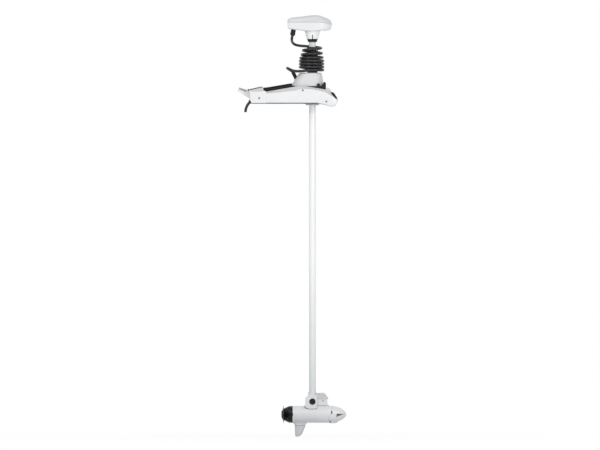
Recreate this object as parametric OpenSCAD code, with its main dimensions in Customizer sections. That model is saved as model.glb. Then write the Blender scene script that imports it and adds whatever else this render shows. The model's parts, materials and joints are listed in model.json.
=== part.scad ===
// Bow-mount trolling motor with a folding mount, a coiled cable and a brushless lower unit.
// The origin is the middle of the deck bolt pattern, on the underside of the mount.
// +X points to the bow, +Y to port, +Z up. Sizes are in millimetres.

/* [Shaft] */
// Distance from the deck down to the motor's axis
motor_drop = 1600; // [1300:10:1900]
// Outside diameter of the composite shaft
shaft_d = 35; // [34:0.5:36]
// Wall thickness of the shaft
shaft_wall = 4.5; // [4:0.5:6]

/* [Mount base] */
// Overall width of the mount over its side covers
mount_w = 188; // [184:2:200]
// Spacing of the deck bolts along the mount
bolt_x = 180; // [160:5:190]
// Spacing of the deck bolts across the mount
bolt_y = 108; // [104:2:110]
// Diameter of the deck bolt holes
bolt_d = 8.5; // [6.5:0.5:9]

/* [Head] */
// Width of the control head
head_w = 106; // [96:2:120]

/* [Coil cord] */
// Diameter of the coiled cable
cord_d = 14; // [13:0.5:14]
// Number of turns round the shaft
cord_turns = 6.5; // [5.5:1:6.5]

/* [Power lead] */
// Diameter of the power lead
power_d = 14; // [13:0.5:15]

/* [Lower unit] */
// Outside diameter of the motor
motor_d = 87; // [84:1:92]

/* [Propeller] */
// Diameter of the propeller
prop_d = 286; // [240:2:300]
// Distance that the blades would screw forward in one turn
prop_pitch = 45; // [40:5:90]

/* [Hidden] */
$fn = 64;
small_fn = 32;
eps = 0.01;

// Shaft line and tilt pivot, in plan and height
shaft_x = 180;
shaft_r = shaft_d / 2;
pivot = [88, 0, 48];
pin_r = 8;
run_gap = 0.05;

// Mount base
channel_y = 68;
frame_t = 7;
frame_y = channel_y + frame_t;
cover_in_y = frame_y;
cover_y = mount_w / 2;
cover_wall = 3;
floor_t = 8;
seam_x = -57;
rear_x = -145;
rail_slope = 0.174;
pedal_pin_at = [-149, 0, 70];
pedal_pin_r = 4;
pedal_half = 45;
rod_at = [0, 40, 22];
rod_r = 4;

// Steering housing
case_x0 = 109;
case_x1 = 238;
case_half = 47;
case_z = [14, 50, 90];
shroud_z = [90, 159];
sleeve_r = 26;
sleeve_top = 240;
bearing_r = 31;
gear_module = 2.25;
gear_teeth = 32;
pinion_teeth = 12;
gear_z = [42, 60];
pinion_x = shaft_x - gear_module * (gear_teeth + pinion_teeth) / 2;
gland_at = [91.5, 0, 108];
gland_mouth = [80.5, 0, 166];
gland_lean = 60;

// Head
collar_z = [sleeve_top, 292];
nut_z = [318, 333];
neck_top = 380;
neck_r = 36;
socket_r = 8.6;
plug_top = [83, 0, 383];
plug_lean = 11;

// Lower unit
zm = -motor_drop;
motor_r = motor_d / 2;
can_wall = 3.5;
can_x0 = 92;
bell_x0 = 80;
hub_x = [20, 78.5];
nose_len = 83;
nose_x = 272;
axle_r = 8;
socket_top = zm + 115;
tube_foot = zm + 52;
tube_top = 360;

// Colours
white = [0.92, 0.93, 0.94];
pale = [0.84, 0.86, 0.87];
grey = [0.62, 0.64, 0.66];
black = [0.09, 0.09, 0.1];
rubber = [0.14, 0.14, 0.15];
steel = [0.72, 0.73, 0.75];
copper = [0.72, 0.45, 0.25];
board_green = [0.1, 0.32, 0.2];

// Vector helpers
function unit(v) = v / norm(v);
function mix(a, b, t) = a + (b - a) * t;
function total_of(v) = [for (i = 0, s = v[0]; i < len(v); i = i + 1, s = i < len(v) ? s + v[i] : s) s][len(v) - 1];

// Outward normal at corner i of a polygon drawn anticlockwise in (x, z)
function edge_normal(p, i) = let (d = unit(p[(i + 1) % len(p)] - p[i])) [d.y, -d.x];
function corner_normal(p, i) =
    let (n = edge_normal(p, (i + len(p) - 1) % len(p)) + edge_normal(p, i)) n * 2 / (n * n);

// The outline moved inwards by d times each point's own weight
function drawn_in(p, d, weights) =
    [for (i = [0 : len(p) - 1]) p[i] - d * weights[i] * corner_normal(p, i)];
function drawn_in_all(p, d) = drawn_in(p, d, [for (q = p) 1]);

// Rings put in the order that turns the solid's faces outwards
function middle(r) = total_of(r) / len(r);
function area_vector(r) = total_of([for (i = [1 : len(r) - 2]) cross(r[i] - r[0], r[i + 1] - r[0])]);
function outward(rings) = let (m = len(rings))
    area_vector(rings[0]) * (middle(rings[1]) - middle(rings[0])) > 0
        ? rings : [for (i = [m - 1 : -1 : 0]) rings[i]];

// Closed solid through rings of equal point counts, with flat polygon ends
module loft(stations) {
    rings = outward(stations);
    n = len(rings[0]);
    m = len(rings);
    polyhedron(
        points = [for (r = rings) each r],
        faces = concat(
            [[for (j = [0 : n - 1]) j]],
            [for (i = [0 : m - 2], j = [0 : n - 1]) each [
                [i * n + j, (i + 1) * n + j, (i + 1) * n + (j + 1) % n],
                [i * n + j, (i + 1) * n + (j + 1) % n, i * n + (j + 1) % n]]],
            [[for (j = [n - 1 : -1 : 0]) (m - 1) * n + j]]));
}

// The same for rings that mirror about the XZ plane: the ends are strips from side to side,
// so an end may rise and fall along X and still be made of flat facets
module loft_mirrored(halves) {
    k = len(halves[0]);
    n = 2 * k;
    m = len(halves);
    rings = outward([for (h = halves) concat(h, [for (i = [k - 1 : -1 : 0]) [h[i].x, -h[i].y, h[i].z]])]);
    polyhedron(
        points = [for (r = rings) each r],
        faces = concat(
            [for (i = [0 : k - 2]) each [[i, i + 1, n - 2 - i], [i, n - 2 - i, n - 1 - i]]],
            [for (i = [0 : m - 2], j = [0 : n - 1]) each [
                [i * n + j, (i + 1) * n + j, (i + 1) * n + (j + 1) % n],
                [i * n + j, (i + 1) * n + (j + 1) % n, i * n + (j + 1) % n]]],
            [for (i = [0 : k - 2]) let (o = (m - 1) * n) each [
                [o + i, o + n - 2 - i, o + i + 1], [o + i, o + n - 1 - i, o + n - 2 - i]]]));
}

// Round tube swept along a route, its rings carried without twist; r is one radius or one a ring
function along(p, i) = unit(p[min(i + 1, len(p) - 1)] - p[max(i - 1, 0)]);
function square_to(a, t) = unit(a - (a * t) * t);
function carried(p, first) =
    [for (i = 0, a = square_to(first, along(p, 0)); i < len(p);
        i = i + 1, a = i < len(p) ? square_to(a, along(p, i)) : a) a];
module swept_tube(p, r, sides, first = [0, 1, 0]) {
    a = carried(p, first);
    loft([for (i = [0 : len(p) - 1]) let (b = cross(along(p, i), a[i]), ring_r = is_list(r) ? r[i] : r)
        [for (j = [0 : sides - 1]) let (w = 360 * j / sides) p[i] + ring_r * (cos(w) * a[i] + sin(w) * b)]]);
}

// A smooth line through points chosen by hand
function curve_at(a, b, c, d, t) =
    0.5 * (2 * b + (c - a) * t + (2 * a - 5 * b + 4 * c - d) * t * t + (3 * b - a - 3 * c + d) * t * t * t);
function smooth_line(p, steps) = let (n = len(p)) concat(
    [for (i = [0 : n - 2], s = [0 : steps - 1])
        curve_at(p[max(i - 1, 0)], p[i], p[i + 1], p[min(i + 2, n - 1)], s / steps)],
    [p[n - 1]]);

// Shape helpers
module rounded_rect(x0, x1, half, r) {
    translate([x0 + r, -half]) square([x1 - x0 - 2 * r, 2 * half]);
    translate([x0, -half + r]) square([x1 - x0, 2 * half - 2 * r]);
    for (x = [x0 + r, x1 - r], y = [-half + r, half - r]) translate([x, y]) circle(r);
}
// A side outline in (x, z), given thickness along Y from y0 to y1
module side_plate(outline, y0, y1) {
    translate([0, y1, 0]) rotate([90, 0, 0]) linear_extrude(y1 - y0) polygon(outline);
}
module along_y(at, r, y0, y1) {
    translate([at.x, y1, at.z]) rotate([90, 0, 0]) cylinder(h = y1 - y0, r = r);
}
module along_x(y, z, r, x0, x1) {
    translate([x0, y, z]) rotate([0, 90, 0]) cylinder(h = x1 - x0, r = r);
}
module shaft_cylinder(r, z0, z1) {
    translate([shaft_x, 0, z0]) cylinder(h = z1 - z0, r = r);
}
module shaft_ring(r_out, r_in, z0, z1) {
    difference() {
        shaft_cylinder(r_out, z0, z1);
        shaft_cylinder(r_in, z0 - 1, z1 + 1);
    }
}
// Rings about the motor's axis
module motor_cylinder(r, x0, x1) { along_x(0, zm, r, x0, x1); }
module motor_ring(r_out, r_in, x0, x1) {
    difference() {
        motor_cylinder(r_out, x0, x1);
        motor_cylinder(r_in, x0 - 1, x1 + 1);
    }
}
// A profile of [x, radius] points turned about the motor's axis
module turned(profile) {
    translate([0, 0, zm]) rotate([0, 90, 0]) rotate_extrude() polygon([for (p = profile) [p.y, p.x]]);
}
module both_sides() {
    children();
    mirror([0, 1, 0]) children();
}

// MOUNT BASE

// Stations of the side covers: [x, bottom z, top z, outer y short of the full width,
// height of the sloping shoulder]
cover_stations = [
    [-80, 3, 57.5, 0, 8], [-26, 3, 67, 0, 13.4], [13, 3, 73.8, 0, 17], [64, 3, 82.7, 0, 20], [92, 3, 87.4, 0, 22],
    [110, 3, 91.2, 0, 20], [122, 3, 92, 0, 18.5], [140, 3, 90.3, 0, 16.5], [178, 3, 84.3, 0, 12],
    [205, 3, 79.3, 0, 12], [219, 0.5, 76.8, 0, 13], [245, -5, 72.4, 0, 15], [266, -12, 65, 0.5, 20],
    [276, -13.5, 60, 1, 21], [286, -14, 54.7, 1.5, 21], [293, -11.5, 48.5, 2.5, 20], [300, -7, 38, 4, 16],
    [305, 2, 30.5, 6, 11.4], [309, 10, 24.5, 8.5, 5.8], [311, 15.5, 21, 11, 2.2]];
bevel_depth = 10;
// One section across a cover, drawn in by the inset on every side but the inner one
function cover_ring(s, inset) = let (
    low = s[1] + inset, high = s[2] - inset, out = cover_y - s[3] - inset,
    drop = s[4], inner = inset > 0 ? cover_in_y - 1 : cover_in_y)
    [[s.x, inner, low], [s.x, out - 2, low], [s.x, out, low + min(2, drop)], [s.x, out, high - drop],
    [s.x, out - bevel_depth, high], [s.x, inner, high]];
screw_holes = [[-94, 0, 28], [130, 0, 68], [251, 0, 10]];

// Frame plates stand inside the covers and carry the pivot, the rails and the floor
function rail_foot(x) = 62.2 + (x - seam_x) * rail_slope;
frame_outline = [
    [-136, 0], [212, 0], [258, -8], [284, -9], [297, 0], [303, 14], [302, 22], [286, 46], [277, 54],
    [275, 66], [270, 76], [263, 81], [254, 82], [246, 70.5], [215, 76.5], [178, 83.2], [136, 88],
    [98, 87.5], [86, rail_foot(86)], [seam_x - 0.2, rail_foot(seam_x - 0.2)], [seam_x - 0.2, 58],
    [-66, 56], [-122, 56], [-136, 42]];
module side_frame() {
    difference() {
        side_plate(frame_outline, channel_y, frame_y);
        along_y(pivot, pin_r, channel_y - 1, frame_y + 1);
        for (s = screw_holes) along_y(s, 2.6, channel_y - 1, frame_y + 1);
        // lightening holes between the floor and the rail
        for (x = [-20, 30]) along_y([x, 0, 34], 15, channel_y - 1, frame_y + 1);
    }
}
module port_frame() { color(pale) side_frame(); }
module starboard_frame() { color(pale) mirror([0, 1, 0]) side_frame(); }

window = [-68, 50];
window_half = 38;
module floor_plate() {
    color(pale) difference() {
        union() {
            translate([-134, -channel_y, 0]) cube([269, 2 * channel_y, floor_t]);
            for (x = [-112, 54]) rod_guide(x);
        }
        translate([0, 0, -1]) linear_extrude(floor_t + 2)
            rounded_rect(window[0], window[1], window_half, 12);
        for (x = [-1, 1], y = [-1, 1])
            translate([x * bolt_x / 2, y * bolt_y / 2, -1]) cylinder(h = floor_t + 2, d = bolt_d);
        along_x(rod_at.y, rod_at.z, rod_r + 2 * run_gap, -120, 70);
        // room for the boss round the power lead
        translate([-135, power_exit.y - boss_r - 1, -1]) cube([17, 2 * boss_r + 2, floor_t + 2]);
    }
}
module rod_guide(x) {
    translate([x, rod_at.y - 7, floor_t - 1]) cube([8, 14, rod_at.z - floor_t + 8]);
}
module side_cover() {
    last = len(cover_stations) - 1;
    difference() {
        loft([for (s = cover_stations) cover_ring(s, 0)]);
        loft([for (i = [0 : last - 2]) let (s = cover_stations[i])
            cover_ring(i == 0 ? [s.x - 1, s[1], s[2], s[3], s[4]] : s, cover_wall)]);
        translate([-100, 0, -50]) cube([100 + seam_x, 200, 200]);
        for (s = [screw_holes[1], screw_holes[2]]) along_y(s, 2.6, cover_in_y, cover_y + 1);
        side_plate(bumper_outline, frame_y, cover_y + 5);
    }
}
module port_cover() { color(white) side_cover(); }
module starboard_cover() { color(white) mirror([0, 1, 0]) side_cover(); }

// Rear cap: a shell over the rear ends of the frames, with a saddle for the folded shaft
cap_outline = [
    [seam_x - 0.5, 2], [seam_x - 0.5, 60.6], [-74.6, 70.6], [-76, 79], [-77, 86], [-88, 85.3],
    [-116, 79], [-141, 73.4], [-141, 58], [rear_x, 45], [rear_x, 24], [-140.5, 11], [-130.5, 2]];
// Shoulder that slopes in along the top of each tower: [x, its height on the side, height of the top]
shoulder_at = [[-155, 59.5, 69.5], [-141, 60, 73.4], [-116, 61, 79], [-88, 62.3, 85.3], [-77, 62.8, 86],
    [-50, 64, 86]];
shoulder_in = 10;
module cap_shoulder(inset) {
    loft([for (s = shoulder_at) let (h = s[2] - s[1], k = inset / norm([h, shoulder_in]),
        foot = [cover_y - k * h, s[1] - k * shoulder_in], run = [-shoulder_in, h], low = foot - 0.15 * run,
        high = foot + 1.2 * run)
        [for (p = [low, high, high + [30, 5], low + [30, 0]]) [s.x, p.x, p.y]]]);
}
cap_wall = 4;
cap_in_half = 62;
module cap_body(inset, half) {
    intersection() {
        side_plate(drawn_in_all(cap_outline, inset),
            -half, half);
        translate([0, 0, -50]) linear_extrude(200) rounded_rect(rear_x + inset, 0, half, 22 - inset);
    }
}
module rear_cap() {
    color(white) difference() {
        union() {
            cap_body(0, cover_y);
            both_sides() pedal_ear();
        }
        // hollow towers over the frames, open at the bottom and at the seam
        both_sides() intersection() {
            difference() {
                cap_body(cap_wall, cover_y - cap_wall);
                cap_shoulder(cap_wall);
            }
            translate([-200, channel_y - 2, -10]) cube([200, 60, 200]);
        }
        both_sides() translate([-139, channel_y - 2, -10]) cube([100, 20, 60]);
        both_sides() translate([-67, channel_y - 2, -10]) cube([30, 10, 73.4]);
        // open middle: the floor runs in under the saddle
        translate([-136, -cap_in_half, -10]) cube([100, 2 * cap_in_half, 200]);
        translate([-136, -channel_y - 0.5, -10]) cube([100, 2 * channel_y + 1, 40]);
        both_sides() cap_shoulder(0);
        // opening for the pedal
        translate([-160, -pedal_half - 3, 26]) cube([40, 2 * pedal_half + 6, 80]);
        translate([-160, -cap_in_half, 76]) cube([40, 2 * cap_in_half, 80]);
        translate([-160, rod_at.y - 8, 14]) cube([40, 16, 40]);
        along_y(pedal_pin_at, pedal_pin_r, -70, 70);
        gland_hole();
        both_sides() along_y(screw_holes[0], 2.6, frame_y, cover_y + 1);
    }
    color(white) difference() {
        above_deck() power_place() translate([0, 0, -12]) cylinder(h = 15, r = boss_r);
        gland_hole();
        translate([-160, power_exit.y - 20, 26]) cube([60, 40, 20]);
    }
}
module gland_hole() {
    power_place() translate([0, 0, -30]) cylinder(h = 60, r = gland_r);
}
module pedal_ear() {
    along_y(pedal_pin_at, 7, pedal_half + 3.5, pedal_half + 11);
    translate([pedal_pin_at.x, pedal_half + 3.5, pedal_pin_at.z - 7]) cube([8, 7.5, 13]);
}

// Rails: rubber-faced bars that the folded shaft assembly lies between
rail_outline = [
    [seam_x - 0.3, rail_foot(seam_x - 0.3)], [92, rail_foot(92)], [90, 90.5], [75.5, 93.5], [75.5, 101.5],
    [73.5, 103.5], [68, 104], [-46, 84.7], [-60, 82.7], [-72, 82.2], [-74, 80.5], [-73.5, 71.4]];
module rail() {
    side_plate(rail_outline, 63, 80);
}
module port_rail() { color(black) rail(); }
module starboard_rail() { color(black) mirror([0, 1, 0]) rail(); }

bumper_outline = [
    [277, 53], [282, 44], [288.5, 37], [298.7, 28.8], [305, 24], [308, 27.5], [305, 33], [299.5, 41.8], [294, 50.5],
    [289.5, 55.8], [283, 58.2], [276.5, 61]];
module front_bumpers() {
    color(black) both_sides() side_plate(bumper_outline, cover_in_y, cover_y - 3);
}

module pivot_pin() {
    color(steel) along_y(pivot, pin_r, -frame_y, frame_y);
}
module cover_screws() {
    color(steel) both_sides() for (s = screw_holes) {
        along_y(s, 2.5, channel_y + 1, cover_y + 0.5);
        difference() {
            along_y(s, 4.8, cover_y, cover_y + 2);
            along_y(s, 1.8, cover_y + 1, cover_y + 3);
        }
    }
}

// FOOT RELEASE

tread_outline = [
    [-200, 75], [-198, 77], [-155, 66.5], [-151, 76], [-145, 76], [-142, 72], [-142, 66], [-150, 60.5],
    [-198, 68.5], [-202, 71]];
skirt_outline = [
    [-200, 75], [-198, 77], [-155, 66.5], [-151, 76], [-145, 76], [-142, 72], [-141, 60], [-144, 33],
    [-150, 31], [-206, 64], [-206, 68]];
heel_outline = [[-142, 72], [-139.5, 36], [-140, 28], [-145, 28], [-150, 34], [-152, 66]];
module pedal() {
    color(white) difference() {
        union() {
            side_plate(tread_outline, -pedal_half, pedal_half);
            along_y(pedal_pin_at, 8, -pedal_half, pedal_half);
            both_sides() side_plate(skirt_outline, pedal_half - 5, pedal_half);
            // heel that pushes the release rod
            side_plate(heel_outline, rod_at.y - 4, pedal_half);
        }
        // gap round the pin for the return spring
        along_y(pedal_pin_at, 10, -14, 14);
        translate([-165, -14, 55]) cube([30, 28, 10]);
        along_y(pedal_pin_at, pedal_pin_r + run_gap, -60, 60);
    }
}
module pedal_pad() {
    slope = atan2(77 - 66.5, 198 - 155);
    pad_t = 7;
    color(rubber) translate([-198, 0, 77]) rotate([0, slope, 0]) difference() {
        translate([0, -pedal_half + 1, 0]) cube([40, 2 * pedal_half - 2, pad_t]);
        for (x = [5 : 6 : 38]) translate([x, -pedal_half, pad_t - 1.5]) cube([2, 2 * pedal_half, 3]);
    }
}
module pedal_pin() {
    color(steel) along_y(pedal_pin_at, pedal_pin_r, -pedal_half - 10.5, pedal_half + 10.5);
}
// Torsion spring round the pin: a short arm under the tread and a long leg on the rear wall
spring_turns = 5.25;
module pedal_spring() {
    steps = 12;
    wire = 1.6;
    coil_r = 6.4;
    pitch = 3;
    wall_top = 26;
    turns = [for (i = [0 : spring_turns * steps]) let (w = 270 + 360 * i / steps)
        pedal_pin_at + [coil_r * cos(w), pitch * (i / steps - spring_turns / 2), coil_r * sin(w)]];
    last = turns[len(turns) - 1];
    foot = [last.x, last.y, wall_top];
    color(steel) swept_tube(concat([turns[0] - [7, 0, 0]], turns, [mix(last, foot, 0.5), foot]), wire / 2, 6);
}

module release_rod() {
    color(steel) {
        along_x(rod_at.y, rod_at.z, rod_r, -136, 66);
        along_x(rod_at.y, rod_at.z, 6.5, 66, 80);
        // pusher that the pedal's heel bears on
        translate([-138.5, rod_at.y - 5, 18]) cube([5, 10, 22]);
    }
}

// POWER LEAD

gland_r = 10.5;
boss_r = 13.2;
// Where the lead crosses the rear wall, falling 3 for every 4 that it runs back
power_exit = [-139, -38, 10];
power_dip = atan2(3, 4);
module power_place() {
    translate(power_exit) rotate([0, -90 - power_dip, 0]) children();
}
module above_deck() {
    intersection() {
        children();
        translate([-200, -100, 0.3]) cube([200, 200, 100]);
    }
}
// Route of the short lead, from inside the gland to its free end
power_route = [
    [-119.2, -38, 24.85], [-124, -38, 21.25], [-129.5, -38, 17.13], [-135, -38, 13], [-139, -38, 10],
    [-143.4, -38, 6.1], [-147.5, -38, 1.7], [-151.3, -38, -3.05], [-154.7, -38, -8.1], [-157.6, -38, -13.5],
    [-160, -38, -19],
    [-161.95, -38, -24.8], [-163.4, -38, -30.7], [-164.3, -38, -36.7], [-164.7, -38, -44]];
module power_cable() {
    color(rubber) swept_tube(smooth_line(power_route, 2), power_d / 2, 12, [0, 1, 0]);
}
module power_gland() {
    color(black) difference() {
        above_deck() power_place() translate([0, 0, -11]) cylinder(h = 17, r = gland_r);
        swept_tube(smooth_line(power_route, 2), power_d / 2 + run_gap, 12, [0, 1, 0]);
    }
}

// STEERING HOUSING

yoke_cheek = [
    [74, 40], [96, 33], [116, 10], [232, 10], [246, 40], [249.5, 70], [249.5, 104], [245, 111],
    [238, 111], [234, 103], [229, 96], [224, 90], [124, 90], [110, 80], [100, 74], [78, 62]];
// Ledge that the shroud's rim stands on
yoke_ledge = [[128, 82], [200, 82], [206, 90], [128, 90]];
yoke_tab = [[204, 70], [219, 70], [219, 100], [214, 104], [208, 104], [204, 98]];
module tilt_yoke() {
    color(black) difference() {
        union() {
            along_y(pivot, 17, -57, 57);
            both_sides() side_plate(yoke_cheek, case_half, 56);
            both_sides() side_plate(yoke_ledge, 55, 60.4);
            both_sides() side_plate(yoke_tab, 55, 65);
            // bar across the front, under the shroud's lip
            difference() {
                translate([239.5, -57, 66]) cube([10, 114, 38]);
                translate([238, -30, 60]) cube([20, 60, 60]);
            }
        }
        along_y(pivot, pin_r + run_gap, -80, 80);
    }
}

module case_block(z0, z1) {
    translate([0, 0, z0]) linear_extrude(z1 - z0) rounded_rect(case_x0, case_x1, case_half, 12);
}
cavity_gap = 2.5;
module gear_cavity() {
    tip_r = gear_module * (gear_teeth / 2 + 1) + cavity_gap;
    shaft_cylinder(tip_r, gear_z[0] - 2, gear_z[1] + 2);
    translate([pinion_x, 0, gear_z[0] - 2])
        cylinder(h = gear_z[1] - gear_z[0] + 4, r = gear_module * (pinion_teeth / 2 + 1) + 1);
}
module case_bottom() {
    color(grey) difference() {
        union() {
            case_block(case_z[0], case_z[1]);
            shaft_cylinder(bearing_r + 3.5, -3, case_z[0] + 1);
        }
        gear_cavity();
        shaft_cylinder(bearing_r, -4, case_z[0]);
        shaft_cylinder(sleeve_r + 1, 0, 100);
        along_y(pivot, 18, -80, 80);
    }
}
module case_top() {
    color(grey) difference() {
        case_block(case_z[1], case_z[2]);
        gear_cavity();
        shaft_cylinder(bearing_r, case_z[2] - 16, case_z[2] + 1);
        shaft_cylinder(sleeve_r + 1, 0, 200);
        translate([pinion_x, 0, gear_z[1]]) cylinder(h = 60, r = servo_r);
        along_y(pivot, 18, -80, 80);
    }
}
module sleeve_bearings() {
    color(black) {
        shaft_ring(bearing_r, sleeve_r + run_gap, -3, case_z[0]);
        shaft_ring(bearing_r, sleeve_r + run_gap, case_z[2] - 16, case_z[2]);
    }
}
module bottom_ring() {
    color(pale) shaft_ring(bearing_r + 3.5, shaft_r + 1.5, -8, -3);
}
servo_r = 16;
module steering_motor() {
    color(grey) difference() {
        union() {
            translate([pinion_x, 0, gear_z[1] + 4]) cylinder(h = 62, r = servo_r);
            translate([pinion_x, 0, gear_z[1] + 66]) cylinder(h = 5, r = 6);
        }
        translate([pinion_x, 0, gear_z[1]]) cylinder(h = 30, r = 4 + run_gap);
    }
}

// Shroud: a moulded hood over the gear case, leaning back on its rear side
hood_share = [0, 0.025, 0.08, 0.16, 0.27, 0.4, 0.6, 0.73, 0.84, 0.92, 0.975, 1];
hood_width = [0.24, 0.42, 0.64, 0.82, 0.93, 0.99, 1, 0.94, 0.83, 0.65, 0.43, 0.24];
function hood_half(x0, x1, half, z) =
    [for (i = [0 : len(hood_share) - 1]) [mix(x0, x1, hood_share[i]), half * hood_width[i], z]];
module hood(inset, sink) {
    loft_mirrored([
        hood_half(72 + inset, 236 - inset, 61 - inset, shroud_z[0] - sink),
        hood_half(75 + inset, 236 - inset, 61.5 - inset, shroud_z[0] + 7),
        hood_half(95 + inset, 233 - inset, 59 - inset, shroud_z[0] + 41),
        hood_half(110 + inset, 228 - inset, 56 - inset, shroud_z[1] - 7 - inset / 2),
        hood_half(116 + inset, 223 - inset, 51 - inset, shroud_z[1] - inset)]);
}
module shroud() {
    color(white) difference() {
        hood(0, 0);
        hood(3, 1);
        shaft_cylinder(sleeve_r + 3, 120, 200);
        translate(gland_at - [0, 0, 10]) cylinder(h = 60, r = boot_r + 0.6);
        both_sides() translate([203.5, 54.5, 80]) cube([16, 20, 25]);
    }
}

// Ribbed elbow boot where the coiled cable goes into the housing
gland_axis = [-sin(gland_lean), 0, cos(gland_lean)];
gland_line = smooth_line([gland_at, gland_at + [0, 0, 18], gland_at + [0, 0, 38], [90, 0, 157.5],
    [86, 0, 162.8], gland_mouth], 4);
boot_r = 10;
groove_r = 8.6;
module cord_gland() {
    plain_rings = 5;
    color(rubber) swept_tube(gland_line, [for (i = [0 : len(gland_line) - 1])
        i > plain_rings && i % 2 == 1 ? groove_r : boot_r], 12, [0, 1, 0]);
}

// STEERING GEARS

// Half the angle that a tooth takes up at radius r, in degrees
pressure_angle = 25;
backlash = 0.35;
function involute(a) = tan(a) * 180 / PI - a;
function tooth_half(r, teeth) = let (pitch_r = gear_module * teeth / 2, base_r = pitch_r * cos(pressure_angle))
    90 / teeth + involute(pressure_angle) - involute(r > base_r ? acos(base_r / r) : 0)
    - backlash / pitch_r * 45 / PI;
module spur_gear(teeth, turn) {
    pitch_r = gear_module * teeth / 2;
    root_r = pitch_r - 1.15 * gear_module;
    tip_r = pitch_r + 0.8 * gear_module;
    steps = 3;
    flank = [for (s = [0 : steps]) mix(root_r, tip_r, s / steps)];
    polygon([for (k = [0 : teeth - 1]) let (mid = turn + 360 * k / teeth) each concat(
        [for (r = flank) let (w = mid - tooth_half(r, teeth)) r * [cos(w), sin(w)]],
        [for (i = [steps : -1 : 0]) let (r = flank[i], w = mid + tooth_half(r, teeth)) r * [cos(w), sin(w)]])]);
}
module ring_gear() {
    color(steel) translate([shaft_x, 0, gear_z[0]]) linear_extrude(gear_z[1] - gear_z[0]) difference() {
        spur_gear(gear_teeth, 0);
        circle(sleeve_r);
    }
}
module servo_pinion() {
    color(steel) {
        translate([pinion_x, 0, gear_z[0]]) linear_extrude(gear_z[1] - gear_z[0])
            spur_gear(pinion_teeth, 180 / pinion_teeth);
        translate([pinion_x, 0, gear_z[1] - 1]) cylinder(h = 26, r = 4);
    }
}

// Sleeve that turns the shaft by a key and lets it slide
key_w = 6;
key_depth = 2;
module drive_sleeve() {
    color(black) {
        shaft_ring(sleeve_r, shaft_r + run_gap, -2.5, sleeve_top);
        translate([shaft_x + shaft_r - key_depth + 0.3, -key_w / 2, 0]) cube([key_depth + 1, key_w, sleeve_top]);
    }
}

// SHAFT AND HEAD

module shaft_tube() {
    color(white) difference() {
        shaft_ring(shaft_r, shaft_r - shaft_wall, tube_foot, tube_top);
        translate([shaft_x + shaft_r - key_depth, -key_w / 2 - 0.15, zm + 140])
            cube([key_depth + 1, key_w + 0.3, 310 - zm - 140]);
        along_y(bolt_at, 6.1, -30, 30);
    }
}

// Stop clamped on the shaft: it rests on the sleeve and sets how deep the motor runs
module depth_collar() {
    color(black) difference() {
        union() {
            shaft_cylinder(28.5, collar_z[0], collar_z[1] - 6);
            translate([shaft_x, 0, collar_z[1] - 6]) cylinder(h = 6, r1 = 28.5, r2 = 25);
        }
        shaft_cylinder(shaft_r, 0, 400);
        // clamping gap and the bores of its two screws
        translate([shaft_x + 10, -1.5, 200]) cube([40, 3, 200]);
        for (z = [collar_z[0] + 14, collar_z[0] + 36]) along_y([shaft_x + 23, 0, z], 2.6, -40, 40);
    }
}

module collet() {
    slits = 4;
    color(white) difference() {
        union() {
            translate([shaft_x, 0, nut_z[1]]) cylinder(h = neck_top - nut_z[1], r1 = 28, r2 = neck_r);
            shaft_cylinder(neck_r, 372.5, neck_top);
            shaft_cylinder(22, nut_z[1] - 10, nut_z[1] + 1);
        }
        shaft_cylinder(shaft_r, 0, 500);
        for (k = [0 : slits - 1]) translate([shaft_x, 0, 0]) rotate(k * 360 / slits + 90)
            translate([0, -2, nut_z[1] - 11]) cube([60, 4, 33]);
    }
}
module collet_nut() {
    grips = 16;
    color(black) difference() {
        translate([shaft_x, 0, 0]) rotate_extrude() polygon([
            [22, nut_z[1] - 0.2], [27.5, nut_z[1] - 0.2], [27.5, nut_z[1] - 3], [25, nut_z[1] - 5],
            [23.5, nut_z[0] + 1], [22.5, nut_z[0]], [shaft_r + 0.6, nut_z[0]],
            [shaft_r + 0.6, nut_z[1] - 10.5], [22, nut_z[1] - 10.5]]);
        for (k = [0 : grips - 1]) translate([shaft_x, 0, 0]) rotate(k * 360 / grips)
            translate([25.2, 0, nut_z[0] - 1]) cylinder(h = 10, r = 1.8);
    }
}

// Plan of the head: share of its length, and half width at that share
head_share = [0, 0.015, 0.05, 0.12, 0.22, 0.34, 0.48, 0.62, 0.73, 0.78, 0.84, 0.9, 0.95, 0.985, 1];
head_width = [0.56, 0.63, 0.68, 0.74, 0.81, 0.88, 0.95, 0.99, 1, 0.95, 0.85, 0.72, 0.57, 0.4, 0.24];
// Height of the seam and of the crown along X
function seam_z(x) = lookup(x, [[50, 417], [142, 418], [190, 422.5], [214, 422.5], [245, 415], [281, 407]]);
function crown_z(x) = lookup(x, [[50, 437.5], [116, 445.5], [142, 450.5], [167, 455], [193, 457],
    [219, 455.5], [229, 450], [250, 441], [265, 433.5], [274, 426], [280, 416]]);
function floor_z(x) = lookup(x, [[50, 387], [82, 383], [121, 378], [148, 373], [206, 373], [226, 377], [265, 378],
    [281, 384]]);
// The crown's shoulders fade out at both ends
function shoulder(x) = lookup(x, [[50, 0.5], [100, 1], [240, 1], [280, 0.15]]);
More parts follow.
